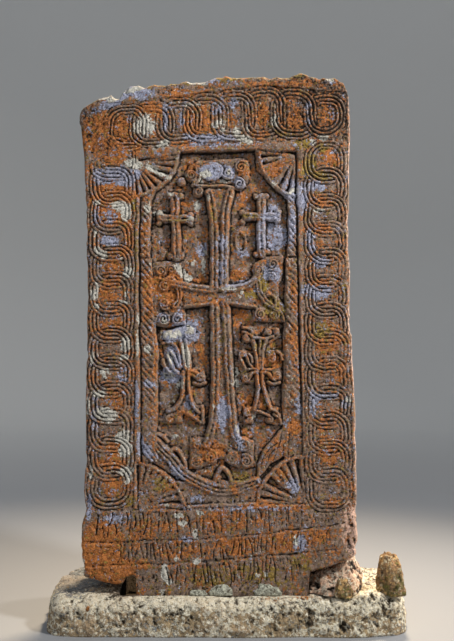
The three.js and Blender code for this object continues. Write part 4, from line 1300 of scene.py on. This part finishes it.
for stone_name, seed in (("small_packing_stone", 3), ("large_packing_stone", 8)):
    stone_low, stone_high = node_box(stone_name)
    ball = bmesh.new()
    bmesh.ops.create_icosphere(ball, subdivisions=6, radius=1)
    stone_mesh = bpy.data.meshes.new(stone_name)
    ball.to_mesh(stone_mesh)
    ball.free()
    unit = np.zeros(len(stone_mesh.vertices) * 3)
    stone_mesh.vertices.foreach_get("co", unit)
    unit = unit.reshape(-1, 3)
    spread = unit * 40  # millimetres, for the noise
    # Broken faces: a rounded block is cut back by flat planes, then roughened.
    rng = np.random.default_rng(seed)
    radius = 1 / np.linalg.norm(unit, 4, axis=1)
    for _ in range(BROKEN_FACES):
        facing = rng.normal(size=3) * [1, 1, 0.6]
        facing /= np.linalg.norm(facing)
        reach = np.maximum(unit @ facing, 1e-3)
        radius = np.minimum(radius, rng.uniform(0.8, 1.05) / reach)
    radius = radius * (1 + JAGGED * lumpy(spread, 20, seed) + GRAINY * lumpy(spread, 9, seed + 9))
    shape = unit * radius[:, None]
    shape[:, :2] *= 1.3 - 0.4 * ease(shape[:, 2:], -0.6, 0.8)  # broad at the foot
    shape[:, 2] = np.maximum(shape[:, 2], np.quantile(shape[:, 2], BEDDED))
    low, high = shape.min(0), shape.max(0)
    shape = stone_low + (shape - low) / (high - low) * (stone_high - stone_low)
    stone_mesh.vertices.foreach_set("co", (shape * MM).astype(np.float32).ravel())
    stone_mesh.update()
    hollows = -lumpy(spread, 8, seed + 9)
    # Dirt and painted shade in the hollows, and a painted highlight on the bumps.
    paint(stone_mesh, grime=np.clip(0.3 + 0.6 * hollows, 0, 1), rubbed=np.clip(0.2 - 0.5 * hollows, 0, 1),
          moss=np.clip(0.4 - 0.35 * unit[:, 2] + 0.25 * lumpy(spread, 26, seed + 4), 0, 1))
    stone = finished_piece(stone_mesh, stone_name + "_rock")
    stone.data.materials.append(stone_finish(
        stone_name.replace("_", " "), ("5c4430", "b08a5e"),
        [("9c7a48", "e4bc80", 0.5, 40.0, 0.9, 0.7),
         ("4a4826", "8a8646", "moss", 50.0, 0.9, 0.7),
         ("b8a884", "f4e6c4", 0.34, 60.0, 0.9, 0.7)],
        0.9, "2a2018"))
    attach(stone, "root")
    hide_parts(stone_name)

# ======== Floor, light and camera ========
# A pale seamless studio floor that sweeps up into a round wall, a large soft key from high
# on the right, and a broad fill from the front.

FLOOR_RADIUS, SWEEP_RADIUS, WALL_HEIGHT, AROUND = 6.0, 2.5, 7.0, 96
sweep = [(radius, 0.0) for radius in (0.5, 1.0, 1.75, 2.5, 3.5, 4.5, FLOOR_RADIUS)]
sweep += [(FLOOR_RADIUS + SWEEP_RADIUS * math.sin(a), SWEEP_RADIUS * (1 - math.cos(a)))
          for a in np.radians(np.arange(6, 91, 6))]
sweep.append((FLOOR_RADIUS + SWEEP_RADIUS, WALL_HEIGHT))
turns = np.radians(np.arange(AROUND) * 360 / AROUND)
swept = np.array([(r * math.cos(a), r * math.sin(a), z) for r, z in sweep for a in turns])
numbers = np.arange(len(swept)).reshape(len(sweep), AROUND)
numbers = np.concatenate([numbers, numbers[:, :1]], 1)
ground_mesh = new_mesh("studio floor", swept, [list(range(AROUND))] + quads(numbers).tolist())
ground_mesh.shade_smooth()
# The wall is painted lighter than the floor: painted light in place of lamp light, which reaches it less.
paint(ground_mesh, wall=ease(np.hypot(*swept.T[:2]), 1.0, FLOOR_RADIUS + 1))
floor = new_object("studio_floor", ground_mesh)
paper, paper_tree, paper_shader = new_material("Pale paper")
paper_colour = blend(paper_tree, painted(paper_tree, "wall"), colour("92959a"), colour("e4e4e2"))
fill(paper_tree, paper_shader, {"Base Color": paper_colour, "Roughness": 0.9})
floor.data.materials.append(paper)

world = bpy.data.worlds.new("studio")
bpy.context.scene.world = world
world.use_nodes = True
fill(world.node_tree, world.node_tree.nodes["Background"], {"Color": (0.9, 0.94, 1.0, 1), "Strength": 0.4})


def soft_light(name, place, size, power, tint, spread):
    """A round lamp, turned to the slab's middle."""
    lamp = bpy.data.lights.new(name, "AREA")
    lamp.shape = "DISK"
    lamp.size = size
    lamp.energy = power
    lamp.color = tint
    lamp.spread = math.radians(spread)
    holder = new_object(name, lamp)
    holder.location = place
    holder.rotation_mode = "QUATERNION"
    direction = Vector(AIM) - Vector(place)
    holder.rotation_quaternion = direction.to_track_quat("-Z", "Y")
    holder.visible_camera = False


AIM = (0, 0, 0.9)
soft_light("key", (2.6, -1.7, 3.2), 0.45, 46, (1.0, 0.95, 0.88), 100)
soft_light("side rim", (3.2, 1.3, 1.5), 0.6, 17, (1.0, 0.9, 0.8), 60)
soft_light("top rim", (0.7, 1.5, 4.2), 0.7, 38, (1.0, 0.78, 0.52), 60)
soft_light("fill", (-1.2, -4.0, 2.2), 2.4, 8, (0.9, 0.95, 1.0), 120)

CAMERA_AWAY, CAMERA_UP, CAMERA_TILT = 2.476, 0.8287, 2.22  # metres, and degrees above the level
camera = new_object("camera", bpy.data.cameras.new("camera"))
camera.location = (0, -CAMERA_AWAY, CAMERA_UP)
camera.rotation_euler = (math.radians(90 + CAMERA_TILT), 0, 0)
camera.data.sensor_width = 36
camera.data.lens = 43.456
bpy.context.scene.camera = camera
bpy.context.scene.view_settings.view_transform = "Standard"
